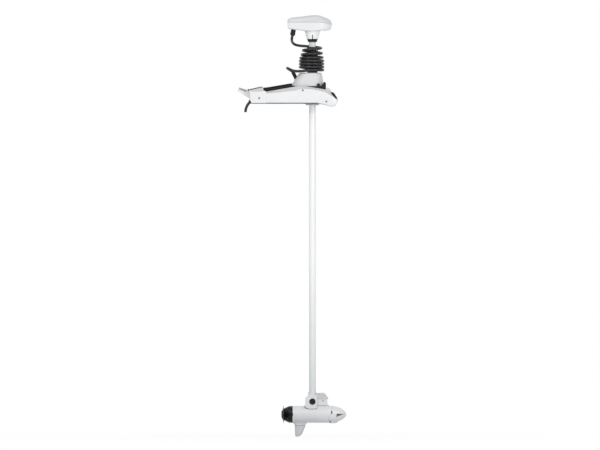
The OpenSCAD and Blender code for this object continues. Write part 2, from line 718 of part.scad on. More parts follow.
// One level of the head: from x0 to x1, with the height of each point given by kind
function head_half(x0, x1, half, kind, z) = [for (i = [0 : len(head_share) - 1])
    let (x = mix(x0, x1, head_share[i]))
    [x, half * head_width[i],
        kind == "floor" ? floor_z(x) + z : kind == "seam" ? seam_z(x) + z : crown_z(x) + z * shoulder(x)]];
module head_lower(inset, lift) {
    w = head_w / 2 - inset;
    loft_mirrored([
        head_half(66 + inset, 264 - inset, w - 12, "floor", inset),
        head_half(58 + inset, 271 - inset, w - 5, "floor", 4 + inset),
        head_half(54 + inset, 277 - inset, w - 2, "floor", 13 + inset / 2),
        head_half(51 + inset, 280 - inset, w, "seam", lift)]);
}
module head_upper(inset, drop) {
    w = head_w / 2 - inset;
    loft_mirrored([
        head_half(51 + inset, 280 - inset, w, "seam", 1.5 - drop),
        head_half(51.5 + inset, 279.5 - inset, w - 0.5, "seam", 7 - drop / 4),
        head_half(53 + inset, 275 - inset, w - 4, "crown", -11 - inset),
        head_half(58 + inset, 268 - inset, w - 14, "crown", -4 - inset),
        head_half(67 + inset, 258 - inset, w - 32, "crown", -inset)]);
}
head_wall = 3.5;
module head_base() {
    color(white) difference() {
        union() {
            difference() {
                head_lower(0, 0);
                head_lower(head_wall, 2);
            }
            for (s = head_screw_at) translate([s.x, s.y, floor_z(s.x) + 2])
                cylinder(h = board_z - floor_z(s.x) - 2, r = 5);
        }
        shaft_cylinder(neck_r, 360, neck_top + 0.5);
        translate([plug_top.x, plug_top.y, 360]) cylinder(h = 40, r = socket_r);
        for (s = head_screw_at) translate([s.x, s.y, 360]) {
            cylinder(h = 60, r = 2.1);
            cylinder(h = floor_z(s.x) + screw_seat - 360, r = 4.2);
        }
    }
}
module head_gasket() {
    color(rubber) difference() {
        loft_mirrored([head_half(51.8, 279.2, head_w / 2 - 0.8, "seam", 0),
            head_half(51.8, 279.2, head_w / 2 - 0.8, "seam", 1.35)]);
        loft_mirrored([head_half(55, 276, head_w / 2 - 4, "seam", -5),
            head_half(55, 276, head_w / 2 - 4, "seam", 8)]);
    }
}
module head_cover() {
    color(white) difference() {
        head_upper(0, 0);
        head_upper(head_wall, 2);
    }
}
head_screw_at = [[86, 22], [86, -22], [244, 22], [244, -22]];
screw_seat = 0.6;
module head_screws() {
    color(steel) for (s = head_screw_at) translate([s.x, s.y, floor_z(s.x) + screw_seat]) {
        cylinder(h = 22, r = 2);
        translate([0, 0, -2.6]) cylinder(h = 2.6, r = 3.6);
    }
}
board_z = 401;
module control_board() {
    color(board_green) translate([0, 0, board_z]) linear_extrude(1.6) difference() {
        rounded_rect(72, 252, 26, 6);
        translate([shaft_x, 0]) circle(shaft_r + 3);
        for (s = head_screw_at) translate(s) circle(2.2);
    }
    color(black) for (x = [96, 130, 226]) translate([x - 9, -9, board_z + 1.6]) cube([18, 18, 3]);
}
module gps_antenna() {
    color(pale) translate([shaft_x + 2, 0, board_z + 1.6]) {
        linear_extrude(8) rounded_rect(-22, 22, 22, 4);
        translate([0, 0, 8]) linear_extrude(5) rounded_rect(-16, 16, 16, 2);
    }
}

// COILED CABLE

coil_top_z = 294;
coil_r = [43, 59.5];
coil_shift = -4.7;
coil_pitch = [29, 15.8];
// Turns over which the pitch closes up
coil_settle = 2.8;
coil_lean = [0, 3.4];
loop_steps = 24;
// Turns counted down from the start behind the shaft; clockwise seen from above
function coil_drop(t) = let (u = min(t, coil_settle))
    coil_pitch[0] * u - (coil_pitch[0] - coil_pitch[1]) * u * u / (2 * coil_settle) + coil_pitch[1] * (t - u);
function coil_spread(t) = min(1, t / 3.2);
function coil_point(t) = let (w = 90 - 360 * t, r = mix(coil_r[0], coil_r[1], coil_spread(t)))
    [shaft_x + coil_shift * coil_spread(t) + r * cos(w), r * sin(w),
    coil_top_z - coil_drop(t) - mix(coil_lean[0], coil_lean[1], coil_spread(t)) * cos(w)];
coil_points = [for (i = [0 : cord_turns * loop_steps]) coil_point(i / loop_steps)];
coil_foot = coil_points[len(coil_points) - 1];
plug_axis = [-sin(plug_lean), 0, -cos(plug_lean)];
plug_foot = plug_top + 33.1 * plug_axis;
// From the plug under the head to the back of the shaft
lead_in = [plug_foot, plug_foot + 9 * plug_axis, plug_foot + 18 * plug_axis, [75, 1.5, 323.5], [81, 6.5, 314],
    [93, 15.5, 306.5], [116, 27.5, 302], [147, 38.5, 298.5]];
// From the front of the last turn, round a slack loop and down into the boot
lead_out = [[150, -57.5, 169.5], [122, -55, 167], [98, -53.5, 166.8], [79, -52.5, 169.5], [58.5, -45, 178.5],
    [50.5, -27, 183], [54, -9.5, 180], gland_mouth + 20 * gland_axis, gland_mouth + 11 * gland_axis, gland_mouth];
coil_route = concat(
    smooth_line(concat(lead_in, [coil_points[0]]), 3),
    [for (i = [1 : len(coil_points) - 2]) coil_points[i]],
    smooth_line(concat([coil_foot], lead_out), 3));
// Least gap between parts of the cable that are over four diameters apart along it
function line_length(p, i, j) = total_of([for (k = [i : j - 1]) norm(p[k + 1] - p[k])]);
near_steps = 8;
cord_gap = min([for (i = [0 : len(coil_route) - 1], j = [i + near_steps : 1 : len(coil_route) - 1])
    norm(coil_route[j] - coil_route[i])]) - cord_d;
echo(least_gap_of_coil_cord = cord_gap, length = line_length(coil_route, 0, len(coil_route) - 1));
module coil_cord() {
    color(rubber) swept_tube(coil_route, cord_d / 2, 8, [1, 0, 0]);
}
module coil_plug() {
    grips = 12;
    color(black) {
        translate([plug_top.x, plug_top.y, 378]) cylinder(h = 14, r = socket_r);
        translate(plug_top) rotate([0, plug_lean, 0]) difference() {
            rotate_extrude() polygon([
                [0, 2], [7.5, 2], [7.5, -2], [12.5, -2], [12.5, -15], [11.5, -16], [11.5, -17.5],
                [13.2, -18.5], [13.2, -28], [9, -33], [0, -33]]);
            for (k = [0 : grips - 1]) rotate(k * 360 / grips) translate([13.4, 0, -15]) cylinder(h = 13, r = 1.5);
        }
    }
}

// LOWER UNIT

socket_outline = [
    [157, zm + 96], [148, zm + 90], [143, zm + 82], [142, zm + 52], [139.5, zm + 42], [146, zm + 34],
    [157, zm + 29.5], [168, zm + 28], [196, zm + 28], [203, zm + 33], [203, zm + 94], [201, zm + 97],
    [199, zm + 100], [159, zm + 100]];
socket_half = 33.5;
bolt_at = [shaft_x, 0, zm + 66.5];
module shaft_socket() {
    color(white) difference() {
        union() {
            shaft_cylinder(21.5, zm + 80, socket_top);
            side_plate(socket_outline, -socket_half, socket_half);
        }
        motor_cylinder(motor_r + 0.05, 0, 400);
        shaft_cylinder(shaft_r, tube_foot, socket_top + 1);
        shaft_cylinder(shaft_r - shaft_wall, zm, socket_top);
        along_y(bolt_at, 6.1, -60, 60);
    }
}
module saddle_bolt() {
    color(steel) along_y(bolt_at, 6, -socket_half, socket_half);
}
module bolt_caps() {
    color(black) both_sides() difference() {
        union() {
            along_y(bolt_at, 15.8, socket_half, socket_half + 3);
            along_y(bolt_at, 13.4, socket_half + 2, socket_half + 5);
        }
        along_y(bolt_at, 8.4, socket_half + 3.5, socket_half + 6);
    }
}

// Housing on top of the motor where the shaft's wires go in, with a cap over it
housing_outline = [
    [203.4, zm + 78], [203.4, zm + 40], [264, zm + 40], [261, zm + 49], [257.5, zm + 54], [256, zm + 78]];
cap_top_outline = [
    [203.6, zm + 109], [203.6, zm + 78], [258, zm + 78], [262, zm + 83], [261, zm + 86],
    [249, zm + 101], [244, zm + 108], [238, zm + 111], [216, zm + 111]];
module junction_housing() {
    color(pale) difference() {
        union() {
            side_plate(housing_outline, -21, 21);
            side_plate([[203.4, zm + 34], [266, zm + 34], [266, zm + 47], [203.4, zm + 47]], -25, 25);
        }
        motor_cylinder(motor_r + 0.05, 0, 400);
        translate([216, -15, zm + 30]) cube([34, 30, 49]);
        // blind holes for the screws of the cap
        both_sides() along_y([234, 0, zm + 70], 2.4, 17, 25);
    }
}
module junction_cap() {
    color(grey) difference() {
        side_plate(cap_top_outline, -22.5, 22.5);
        shaft_cylinder(22, zm, socket_top + 10);
        // step round the upper half
        both_sides() translate([212, 17, zm + 96]) cube([60, 20, 30]);
    }
}

// Motor tube, closed at the rear by the bell and at the front by the nose
front_seam = [[283, 60], [283, 43], [280, 24], [275, 6], [264, -12], [262, -26], [265, -43], [265, -60]];
module ahead_of_seam(gap, half) {
    side_plate(concat([[400, zm - 60], [400, zm + 60]], [for (p = front_seam) [p.x + gap, zm + p.y]]), -half, half);
}
module motor_can() {
    color(white) difference() {
        motor_cylinder(motor_r, can_x0, 300);
        motor_cylinder(motor_r - can_wall, can_x0 - 1, 310);
        ahead_of_seam(0, 60);
        translate([216, -15, zm + 30]) cube([34, 30, 30]);
    }
}
module rear_bell() {
    color(white) difference() {
        union() {
            motor_ring(motor_r, 22, bell_x0, can_x0);
            motor_cylinder(motor_r - can_wall, can_x0 - 1, can_x0 + 14);
        }
        motor_cylinder(16, bell_x0 - 5, can_x0 + 20);
        motor_ring(motor_r - 9, 24, bell_x0 - 1, bell_x0 + 3);
    }
}

// Ogive nose with a flat facet below and a scooped mark on each side
function nose_r(t) = motor_r * pow(1 - pow(t, 2.2), 0.66);
nose_steps = 24;
nose_cut = [[299, zm - 60], [300.5, zm - 43], [306, zm - 37], [328, zm - 29.5], [346, zm - 17], [364, zm - 2],
    [364, zm - 60]];
module nose_cone() {
    scoop = [[305, zm + 5], [344, zm + 1.5], [302, zm - 13]];
    color(white) difference() {
        union() {
            intersection() {
                turned(concat([[255, 0], [255, motor_r]],
                    [for (i = [0 : nose_steps]) let (t = i / nose_steps) [nose_x + nose_len * t, nose_r(t)]]));
                ahead_of_seam(0.4, 60);
            }
            // spigot that fits in the motor tube
            motor_cylinder(motor_r - can_wall, 246, 288);
        }
        motor_cylinder(motor_r - can_wall - 4, 240, 290);
        // flat under the nose, with a step at its rear end
        side_plate(nose_cut, -60, 60);
        both_sides() side_plate(scoop, 22, 60);
        for (s = nose_screw_at) rotate_to_screw(s) translate([-2.6, -6, 0]) cube([5.2, 12, 30]);
    }
}
nose_screw_at = [[280, 165], [280, 15], [271, 240], [271, 300]];
// Places a hole radially at [x, angle round the motor axis]
module rotate_to_screw(s) {
    translate([s.x, 0, zm]) rotate([s.y - 90, 0, 0]) translate([0, 0, motor_r - 6]) children();
}
module nose_screws() {
    color(black) for (s = nose_screw_at) rotate_to_screw(s) cylinder(h = 3, r = 2.5);
}

// Skeg: a fin that thins to its edges, under the root on the motor tube
skeg_z = [-36, -46, -51, -56, -64, -80, -96, -106, -112, -115];
skeg_back = [76, 81, 85.5, 88, 89.5, 90, 90, 90.5, 93, 96];
skeg_front = [160, 151, 147, 143, 139.5, 133.5, 126.5, 119, 110, 102];
skeg_half = [14, 11, 9.5, 8.5, 7.5, 6.5, 5.5, 4.5, 3.5, 2.5];
function skeg_ring(i) = let (b = skeg_back[i], f = skeg_front[i], h = skeg_half[i])
    [for (p = [[0, 0.25], [0.1, 0.75], [0.35, 1], [0.65, 0.9], [0.9, 0.5], [1, 0.2],
        [1, -0.2], [0.9, -0.5], [0.65, -0.9], [0.35, -1], [0.1, -0.75], [0, -0.25]])
        [mix(b, f, p.x), h * p.y, zm + skeg_z[i]]];
module skeg() {
    color(pale) difference() {
        loft([for (i = [0 : len(skeg_z) - 1]) skeg_ring(i)]);
        motor_cylinder(motor_r, 40, 200);
        motor_cylinder(motor_r + 4, 40, hub_x[1] + 1.5);
    }
}

module stator() {
    slots = 12;
    color(copper) difference() {
        motor_ring(motor_r - can_wall, 25.5, 118, 208);
        for (k = [0 : slots - 1]) translate([0, 0, zm]) rotate([k * 360 / slots, 0, 0])
            translate([117, -2.5, 24]) cube([92, 5, 11]);
    }
}
bearing_x = [can_x0 + 4, 220];
module motor_bearings() {
    color(steel) for (x = bearing_x) motor_ring(x < 200 ? 16 : motor_r - can_wall, axle_r + run_gap, x, x + 10);
}
module shaft_seal() {
    color(rubber) motor_ring(16, axle_r + run_gap, bell_x0 + 4, bell_x0 + 12);
}
module rotor() {
    color(grey) motor_ring(24.5, axle_r, 122, 204);
}
module motor_shaft() {
    color(steel) difference() {
        motor_cylinder(axle_r, 30, 240);
        along_y([70, 0, zm], 3, -20, 20);
    }
}
module drive_pin() {
    color(steel) along_y([70, 0, zm], 3, -19, 19);
}

// PROPELLER

hub_profile = [[hub_x[0] + 5, 20], [hub_x[0] + 5, 24.5], [31, 28], [56, 38.2], [64, 41.6], [70, 43.2],
    [hub_x[1], 43.3]];
blade_steps = 9;
function blade_chord(s) = lookup(s, [[0, 36], [0.2, 54], [0.4, 74], [0.62, 90], [0.8, 84], [0.93, 58], [1, 26]]);
// One blade section at share s of the span: thin, cambered, turned to the pitch angle
function blade_ring(s, side) = let (r = mix(22, prop_d / 2, s), c = blade_chord(s), th = mix(4.5, 1.2, s),
    w = atan(prop_pitch / (2 * PI * r)), mid_x = mix(42, 30.5, sqrt(s)))
    [for (q = [[-0.5, 0.2], [-0.38, 0.7], [-0.1, 1], [0.2, 0.9], [0.42, 0.5], [0.5, 0.2],
        [0.5, -0.2], [0.42, -0.5], [0.2, -0.9], [-0.1, -1], [-0.38, -0.7], [-0.5, -0.2]])
        let (u = q.x * c, v = q.y * th)
        [mid_x + u * sin(w) + v * cos(w), side * r, zm + side * (u * cos(w) - v * sin(w))]];
module propeller() {
    color(black) difference() {
        union() {
            turned(concat([[hub_x[0] + 5, 0]], hub_profile, [[hub_x[1], 0]]));
            loft([for (i = [blade_steps : -1 : 0]) blade_ring(i / blade_steps, 1)]);
            loft([for (i = [blade_steps : -1 : 0]) blade_ring(i / blade_steps, -1)]);
        }
        motor_cylinder(axle_r, 0, 100);
        motor_ring(38, 20, 62, 100);
        along_y([70, 0, zm], 3.05, -21, 21);
        translate([66.9, -21, zm - 3.05]) cube([20, 42, 6.1]);
    }
}
module prop_nut() {
    color(black) turned([[hub_x[0], 0], [hub_x[0], 15], [hub_x[0] + 2, 20], [hub_x[0] + 4.9, 21.5],
        [hub_x[0] + 4.9, axle_r],
        [30, axle_r], [30, 0]]);
}

floor_plate();
starboard_frame();
port_frame();
starboard_cover();
port_cover();
rear_cap();
starboard_rail();
port_rail();
front_bumpers();
pivot_pin();
cover_screws();
pedal_pin();
pedal_spring();
power_gland();
power_cable();
pedal();
pedal_pad();
release_rod();
tilt_yoke();
case_bottom();
case_top();
shroud();
sleeve_bearings();
bottom_ring();
steering_motor();
cord_gland();
servo_pinion();
drive_sleeve();
ring_gear();
shaft_tube();
depth_collar();
collet();
collet_nut();
head_base();
head_gasket();
head_cover();
head_screws();
control_board();
gps_antenna();
coil_plug();
coil_cord();
shaft_socket();
saddle_bolt();
bolt_caps();
junction_housing();
junction_cap();
motor_can();
rear_bell();
nose_cone();
nose_screws();
skeg();
stator();
motor_bearings();
shaft_seal();
rotor();
motor_shaft();
drive_pin();
propeller();
prop_nut();
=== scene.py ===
import json
import math

import bmesh
import bpy
from mathutils import Matrix, Vector
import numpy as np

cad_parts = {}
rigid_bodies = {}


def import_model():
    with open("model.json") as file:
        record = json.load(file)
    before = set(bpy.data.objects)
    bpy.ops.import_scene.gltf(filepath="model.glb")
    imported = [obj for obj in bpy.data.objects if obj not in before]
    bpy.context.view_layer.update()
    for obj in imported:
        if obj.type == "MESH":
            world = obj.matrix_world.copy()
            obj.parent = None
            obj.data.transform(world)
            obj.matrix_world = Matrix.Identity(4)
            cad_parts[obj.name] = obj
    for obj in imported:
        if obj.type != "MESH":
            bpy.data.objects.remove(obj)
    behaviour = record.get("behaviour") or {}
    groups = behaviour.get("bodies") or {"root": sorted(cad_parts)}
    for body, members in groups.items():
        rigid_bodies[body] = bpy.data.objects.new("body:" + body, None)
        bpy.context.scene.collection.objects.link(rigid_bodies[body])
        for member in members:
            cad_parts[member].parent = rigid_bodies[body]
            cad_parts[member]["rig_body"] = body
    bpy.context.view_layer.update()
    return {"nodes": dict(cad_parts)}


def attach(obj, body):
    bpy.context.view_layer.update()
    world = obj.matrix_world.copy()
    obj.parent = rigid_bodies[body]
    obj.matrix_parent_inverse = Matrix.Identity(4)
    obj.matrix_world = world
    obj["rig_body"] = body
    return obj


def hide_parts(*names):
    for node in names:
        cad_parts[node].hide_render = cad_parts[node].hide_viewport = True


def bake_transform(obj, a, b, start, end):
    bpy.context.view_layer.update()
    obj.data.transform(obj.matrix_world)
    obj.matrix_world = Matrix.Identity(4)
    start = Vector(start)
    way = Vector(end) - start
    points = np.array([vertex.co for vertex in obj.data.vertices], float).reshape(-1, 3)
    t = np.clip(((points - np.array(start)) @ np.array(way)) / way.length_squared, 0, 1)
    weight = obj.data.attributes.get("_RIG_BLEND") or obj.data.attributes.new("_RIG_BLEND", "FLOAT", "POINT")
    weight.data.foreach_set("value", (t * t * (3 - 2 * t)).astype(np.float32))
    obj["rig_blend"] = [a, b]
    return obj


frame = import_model()
nodes = frame["nodes"]
# Sizes below are written in millimetres, as on the drawing, and turned to metres where a mesh is made
MM = 0.001

# Floor plate and side frames: the tub that carries everything else on the deck.
# Cast aluminium under a thin pale paint; the plate is bolted to the deck and the frames hold the pivot pin.


def link(name, mesh):
    obj = bpy.data.objects.new(name, mesh)
    bpy.context.scene.collection.objects.link(obj)
    return obj


def shade(mesh, sharp_over):
    mesh.shade_smooth()
    mesh.set_sharp_from_angle(angle=math.radians(sharp_over))


def fitted(obj, body, node=None, finish=None):
    """Gives a piece its finish, the body that carries it and the CAD node that it stands for."""
    if finish:
        obj.data.materials.append(finish)
    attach(obj, body)
    if node:
        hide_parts(node)
    return obj


def ease_edges(solid, edges, width):
    bmesh.ops.bevel(solid, geom=edges, offset=width * MM, offset_type="OFFSET", segments=2, profile=0.5,
                    affect="EDGES", clamp_overlap=True)


# Degrees between two faces: an edge over the one is rounded, and an edge under the other is left out
SHARP_OVER = 38
FLAT_UNDER = 0.4
WELD = 0.002


def eased_copy(node, name, width, finish):
    """Stands for a CAD node: the same solid, merged, with its sharp edges rounded to the width."""
    solid = bmesh.new()
    solid.from_mesh(nodes[node].data)
    bmesh.ops.remove_doubles(solid, verts=solid.verts, dist=WELD * MM)
    flat = math.radians(FLAT_UNDER)
    bmesh.ops.dissolve_limit(solid, angle_limit=flat, verts=solid.verts, edges=solid.edges)
    sharp = math.radians(SHARP_OVER)
    ease_edges(solid, [e for e in solid.edges if e.is_manifold and e.calc_face_angle(0) > sharp], width)
    mesh = bpy.data.meshes.new(name)
    solid.to_mesh(mesh)
    solid.free()
    shade(mesh, SHARP_OVER)
    obj = link(name, mesh)
    even = obj.modifiers.new("flat faces stay flat", "WEIGHTED_NORMAL")
    even.keep_sharp = True
    return fitted(obj, nodes[node]["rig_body"], node, finish)


def finish_of(name, tones, patch, grain, rough, relief, stretch=(1, 1, 1), metal=0.0, coat=0.0, speck=None,
              shine=0.5):
    """A surface with two close tones in broad patches, fine grain in gloss and relief, and loose specks."""
    mat = bpy.data.materials.new(name)
    mat.use_nodes = True
    tree = mat.node_tree
    tree.nodes.clear()
    out = tree.nodes.new("ShaderNodeOutputMaterial")
    shader = tree.nodes.new("ShaderNodeBsdfPrincipled")
    place = tree.nodes.new("ShaderNodeTexCoord")
    mapping = tree.nodes.new("ShaderNodeMapping")
    mapping.inputs["Scale"].default_value = stretch
    tree.links.new(place.outputs["Object"], mapping.inputs["Vector"])

    def noise(scale, detail):
        node = tree.nodes.new("ShaderNodeTexNoise")
        node.inputs["Scale"].default_value = scale
        node.inputs["Detail"].default_value = detail
        node.inputs["Roughness"].default_value = 0.6
        tree.links.new(mapping.outputs["Vector"], node.inputs["Vector"])
        return node.outputs["Fac"]

    fine = noise(grain, 4)
    ramp = tree.nodes.new("ShaderNodeValToRGB")
    ramp.color_ramp.elements[0].position = 0.3
    ramp.color_ramp.elements[0].color = (*tones[0], 1)
    ramp.color_ramp.elements[1].position = 0.7
    ramp.color_ramp.elements[1].color = (*tones[1], 1)
    tree.links.new(noise(patch, 3), ramp.inputs["Fac"])
    colour = ramp.outputs["Color"]
    if speck:
        spots = tree.nodes.new("ShaderNodeMapRange")
        spots.inputs["From Min"].default_value = 0.58
        spots.inputs["From Max"].default_value = 0.72
        spots.inputs["To Max"].default_value = speck[1]
        tree.links.new(fine, spots.inputs["Value"])
        blend = tree.nodes.new("ShaderNodeMix")
        blend.data_type = "RGBA"
        blend.inputs["B"].default_value = (*speck[0], 1)
        tree.links.new(spots.outputs["Result"], blend.inputs["Factor"])
        tree.links.new(colour, blend.inputs["A"])
        colour = blend.outputs["Result"]
    tree.links.new(colour, shader.inputs["Base Color"])
    gloss = tree.nodes.new("ShaderNodeMapRange")
    gloss.inputs["To Min"].default_value = rough[0]
    gloss.inputs["To Max"].default_value = rough[1]
    tree.links.new(fine, gloss.inputs["Value"])
    tree.links.new(gloss.outputs["Result"], shader.inputs["Roughness"])
    bump = tree.nodes.new("ShaderNodeBump")
    bump.inputs["Strength"].default_value = relief
    bump.inputs["Distance"].default_value = 0.4 * MM
    tree.links.new(fine, bump.inputs["Height"])
    tree.links.new(bump.outputs["Normal"], shader.inputs["Normal"])
    shader.inputs["Metallic"].default_value = metal
    shader.inputs["Specular IOR Level"].default_value = shine
    shader.inputs["Coat Weight"].default_value = coat
    shader.inputs["Coat Roughness"].default_value = 0.12
    tree.links.new(shader.outputs["BSDF"], out.inputs["Surface"])
    return mat


cast_paint = finish_of("cast_paint", ((0.56, 0.575, 0.59), (0.62, 0.635, 0.65)),
                       patch=9, grain=700, rough=(0.42, 0.58), relief=0.25,
                       speck=((0.48, 0.49, 0.5), 0.35))
for node, name in (("floor_plate", "deck_plate"), ("starboard_frame", "frame_starboard"),
                   ("port_frame", "frame_port")):
    eased_copy(node, name, 0.8, cast_paint)

# Pivot pin and pedal pin: turned bars, a light press in the frames and the rear cap, with chamfered ends.
# The big one is bright stainless with fine turning marks round it, the small one is blackened.

stainless = finish_of("stainless", ((0.5, 0.51, 0.525), (0.62, 0.63, 0.645)),
                      patch=30, grain=420, rough=(0.22, 0.38), relief=0.12, stretch=(1, 6, 1), metal=1.0)
eased_copy("pivot_pin", "tilt_axle", 0.8, stainless)
dark_steel = finish_of("dark_steel", ((0.11, 0.112, 0.116), (0.16, 0.163, 0.168)),
                       patch=40, grain=600, rough=(0.3, 0.45), relief=0.15, metal=1.0)
black_oxide = finish_of("black_oxide", ((0.008, 0.008, 0.009), (0.014, 0.014, 0.015)),
                        patch=40, grain=600, rough=(0.4, 0.55), relief=0.15, shine=0.2)
eased_copy("pedal_pin", "pedal_axle", 0.8, black_oxide)

# Side covers: injection-moulded white shells screwed on the outside of the frames.
# Each is one long pod with a bevelled shoulder, painted grey as shade, and a rounded nose that droops past
# the deck's edge.

COVER_IN_Y = 75
COVER_OUT_Y = 94
SHOULDER_DEPTH = 10
SHOULDER_EASE = 1.2
LOWER_EDGE_R = 2.5
# Strips of the section, counted from its inner foot, that make the shoulder, painted grey as shade
SHOULDER_STRIPS = (6, 7, 8, 9)
SIDES = ((-1, "starboard"), (1, "port"))
# Stations along the cover: x, bottom, top, how far short of full width it is, and its shoulder's drop
cover_line = [Vector(s) for s in (
    (-57.4, 3, 61.5, 0, 10.3), (-26, 3, 67, 0, 13.4), (13, 3, 73.8, 0, 17), (64, 3, 82.7, 0, 20),
    (92, 3, 87.4, 0, 22), (110, 3, 91.2, 0, 20), (122, 3, 92, 0, 18.5), (140, 3, 90.3, 0, 16.5),
    (178, 3, 84.3, 0, 12), (205, 3, 79.3, 0, 12), (219, 0.5, 76.8, 0, 13), (245, -5, 72.4, 0, 15),
    (266, -12, 65, 0.5, 20), (276, -13.5, 60, 1, 21), (286, -14, 54.7, 1.5, 21), (293, -11.5, 48.5, 2.5, 20),
    (300, -7, 38, 4, 16), (305, 2, 30.5, 6, 11.4), (309, 10, 24.5, 8.5, 5.8), (311, 15.5, 21, 11, 2.2))]


def curve_through(points, steps):
    """Points along a smooth line through the given ones, with so many steps between each two."""
    line = []
    for i in range(len(points) - 1):
        a, b = points[max(i - 1, 0)], points[i]
        c, d = points[i + 1], points[min(i + 2, len(points) - 1)]
        for s in range(steps):
            t = s / steps
            line.append(0.5 * (2 * b + (c - a) * t + (2 * a - 5 * b + 4 * c - d) * t * t
                               + (3 * b - a - 3 * c + d) * t ** 3))
    return line + [points[-1]]


def skinned(name, points, faces):
    """A mesh of points in millimetres, with its faces turned outwards."""
    mesh = bpy.data.meshes.new(name)
    mesh.from_pydata([p * MM for p in points], [], faces)
    skin = bmesh.new()
    skin.from_mesh(mesh)
    bmesh.ops.recalc_face_normals(skin, faces=skin.faces)
    skin.to_mesh(mesh)
    skin.free()
    return link(name, mesh)


def bands(rows, n):
    """The faces between rows of n points, each row closed on itself."""
    return [(i * n + j, i * n + (j + 1) % n, (i + 1) * n + (j + 1) % n, (i + 1) * n + j)
            for i in range(rows - 1) for j in range(n)]


def lofted(name, rings):
    """A skin through rings of equal point counts, with flat ends."""
    n = len(rings[0])
    last = (len(rings) - 1) * n
    ends = [tuple(range(n)), tuple(range(last, last + n))]
    return skinned(name, [p for ring in rings for p in ring], bands(len(rings), n) + ends)


def cover_section(station):
    x, low, high, short, drop = station
    out = COVER_OUT_Y - short
    edge = min(LOWER_EDGE_R, drop / 3)
    ease = min(SHOULDER_EASE, drop / 5)
    lower_edge = [(out - edge + edge * math.cos(a), low + edge + edge * math.sin(a))
                  for a in (math.radians(w) for w in (-90, -60, -30, 0))]
    shoulder = [(out, high - drop - ease), (out - 0.35 * ease, high - drop + 0.3 * ease),
                (out - SHOULDER_DEPTH + 0.7 * ease, high - ease), (out - SHOULDER_DEPTH - ease, high)]
    outline = [(COVER_IN_Y, low)] + lower_edge + shoulder + [(COVER_IN_Y, high)]
    return [Vector((x, y, z)) for y, z in outline]


moulded_white = finish_of("moulded_white", ((0.74, 0.75, 0.765), (0.78, 0.79, 0.805)),
                          patch=7, grain=900, rough=(0.26, 0.36), relief=0.05, coat=0.15)
# The shoulder's grey is painted shade on the upward-facing bevel of the white moulding
shoulder_shade = finish_of("shoulder_shade", ((0.50, 0.505, 0.51), (0.545, 0.55, 0.555)),
                             patch=7, grain=900, rough=(0.4, 0.52), relief=0.08)
cover_rings = [cover_section(s) for s in curve_through(cover_line, 5)]
for side, where in SIDES:
    rings = [[Vector((p.x, side * p.y, p.z)) for p in ring] for ring in cover_rings]
    cover = lofted("side_cover_" + where, rings)
    fitted(cover, "base", where + "_cover", moulded_white)
    cover.data.materials.append(shoulder_shade)
    strips = len(cover_rings[0])
    for poly in cover.data.polygons[:(len(cover_rings) - 1) * strips]:
        if poly.index % strips in SHOULDER_STRIPS:
            poly.material_index = 1
    shade(cover.data, 25)

# Rear cap: moulded white end piece over the rear ends of the frames, with a saddle for the folded shaft.
# It clips over the frames and is held by one screw on each side; the ears carry the pedal's pin.

end_cap = eased_copy("rear_cap", "end_cap", 0.6, moulded_white)
end_cap.data.materials.append(shoulder_shade)
# The bevels along the tops of its towers are painted grey as shade, like the covers' shoulders
TOWER_FOOT_Z = 58
for poly in end_cap.data.polygons:
    bevelled = abs(poly.normal.y) > 0.6 and 0.2 < poly.normal.z < 0.75
    if bevelled and poly.center.z > TOWER_FOOT_Z * MM:
        poly.material_index = 1
# The rear corners are squarer than the plain rounds of the solid
CORNER = Vector((-123, 72))
CORNER_R = 22
SQUARENESS = 6
for vert in end_cap.data.vertices:
    back = (CORNER.x - vert.co.x / MM) / CORNER_R
    out = (abs(vert.co.y) / MM - CORNER.y) / CORNER_R
    if back > 0 and out > 0:
        grow = math.hypot(back, out) / (back ** SQUARENESS + out ** SQUARENESS) ** (1 / SQUARENESS)
        vert.co.x = (CORNER.x - CORNER_R * back * grow) * MM
        vert.co.y = math.copysign(CORNER.y + CORNER_R * out * grow, vert.co.y) * MM
# The lower rear corner is cut away over the power lead
CUT_Z = 22
CUT_X = -145.5
CUT_SLOPE = 0.7
cap_skin = bmesh.new()
cap_skin.from_mesh(end_cap.data)
bmesh.ops.bisect_plane(cap_skin, geom=cap_skin.verts[:] + cap_skin.edges[:] + cap_skin.faces[:],
                       plane_co=(0, 0, CUT_Z * MM), plane_no=(0, 0, 1))
for vert in cap_skin.verts:
    rear = (CUT_X + CUT_SLOPE * (CUT_Z - vert.co.z / MM)) * MM
    if vert.co.z < CUT_Z * MM and vert.co.x < rear:
        vert.co.x = rear
cap_skin.to_mesh(end_cap.data)
cap_skin.free()
shade(end_cap.data, SHARP_OVER)

# Seals and saddle strips: black rubber under the covers and along the tops of the rear cap's towers.
# They are stuck on, keep spray off the frames and stop the folded shaft from rattling.


def strip(name, rings, finish):
    """A moulded strip on each side of the mount, through rings of points given for the port side."""
    for side, where in SIDES:
        obj = lofted(name + "_" + where, [[Vector((x, side * y, z)) for x, y, z in ring] for ring in rings])
        shade(obj.data, 30)
        fitted(obj, "base", finish=finish)


# Black rubber for the seals and the skeg's joint; the same black is also painted shade in the collet's slits,
# under the shaft socket and down the skeg's front edge
seal_rubber_and_shade = finish_of("seal_rubber_and_shade", ((0.010, 0.010, 0.011), (0.016, 0.016, 0.017)),
                        patch=30, grain=1200, rough=(0.6, 0.75), relief=0.3, shine=0.25)
SEAL_IN_Y = 76
SEAL_OUT_Y = 94.3
SEAL_FOOT = 0.1
strip("deck_seal", [[(x, SEAL_IN_Y, SEAL_FOOT), (x, SEAL_OUT_Y, SEAL_FOOT),
                     (x, SEAL_OUT_Y, top), (x, SEAL_IN_Y, top)]
                    for x, top in ((-130.5, 2.5), (-57.6, 2.5), (-57, 2.5), (212, 2.2))], seal_rubber_and_shade)
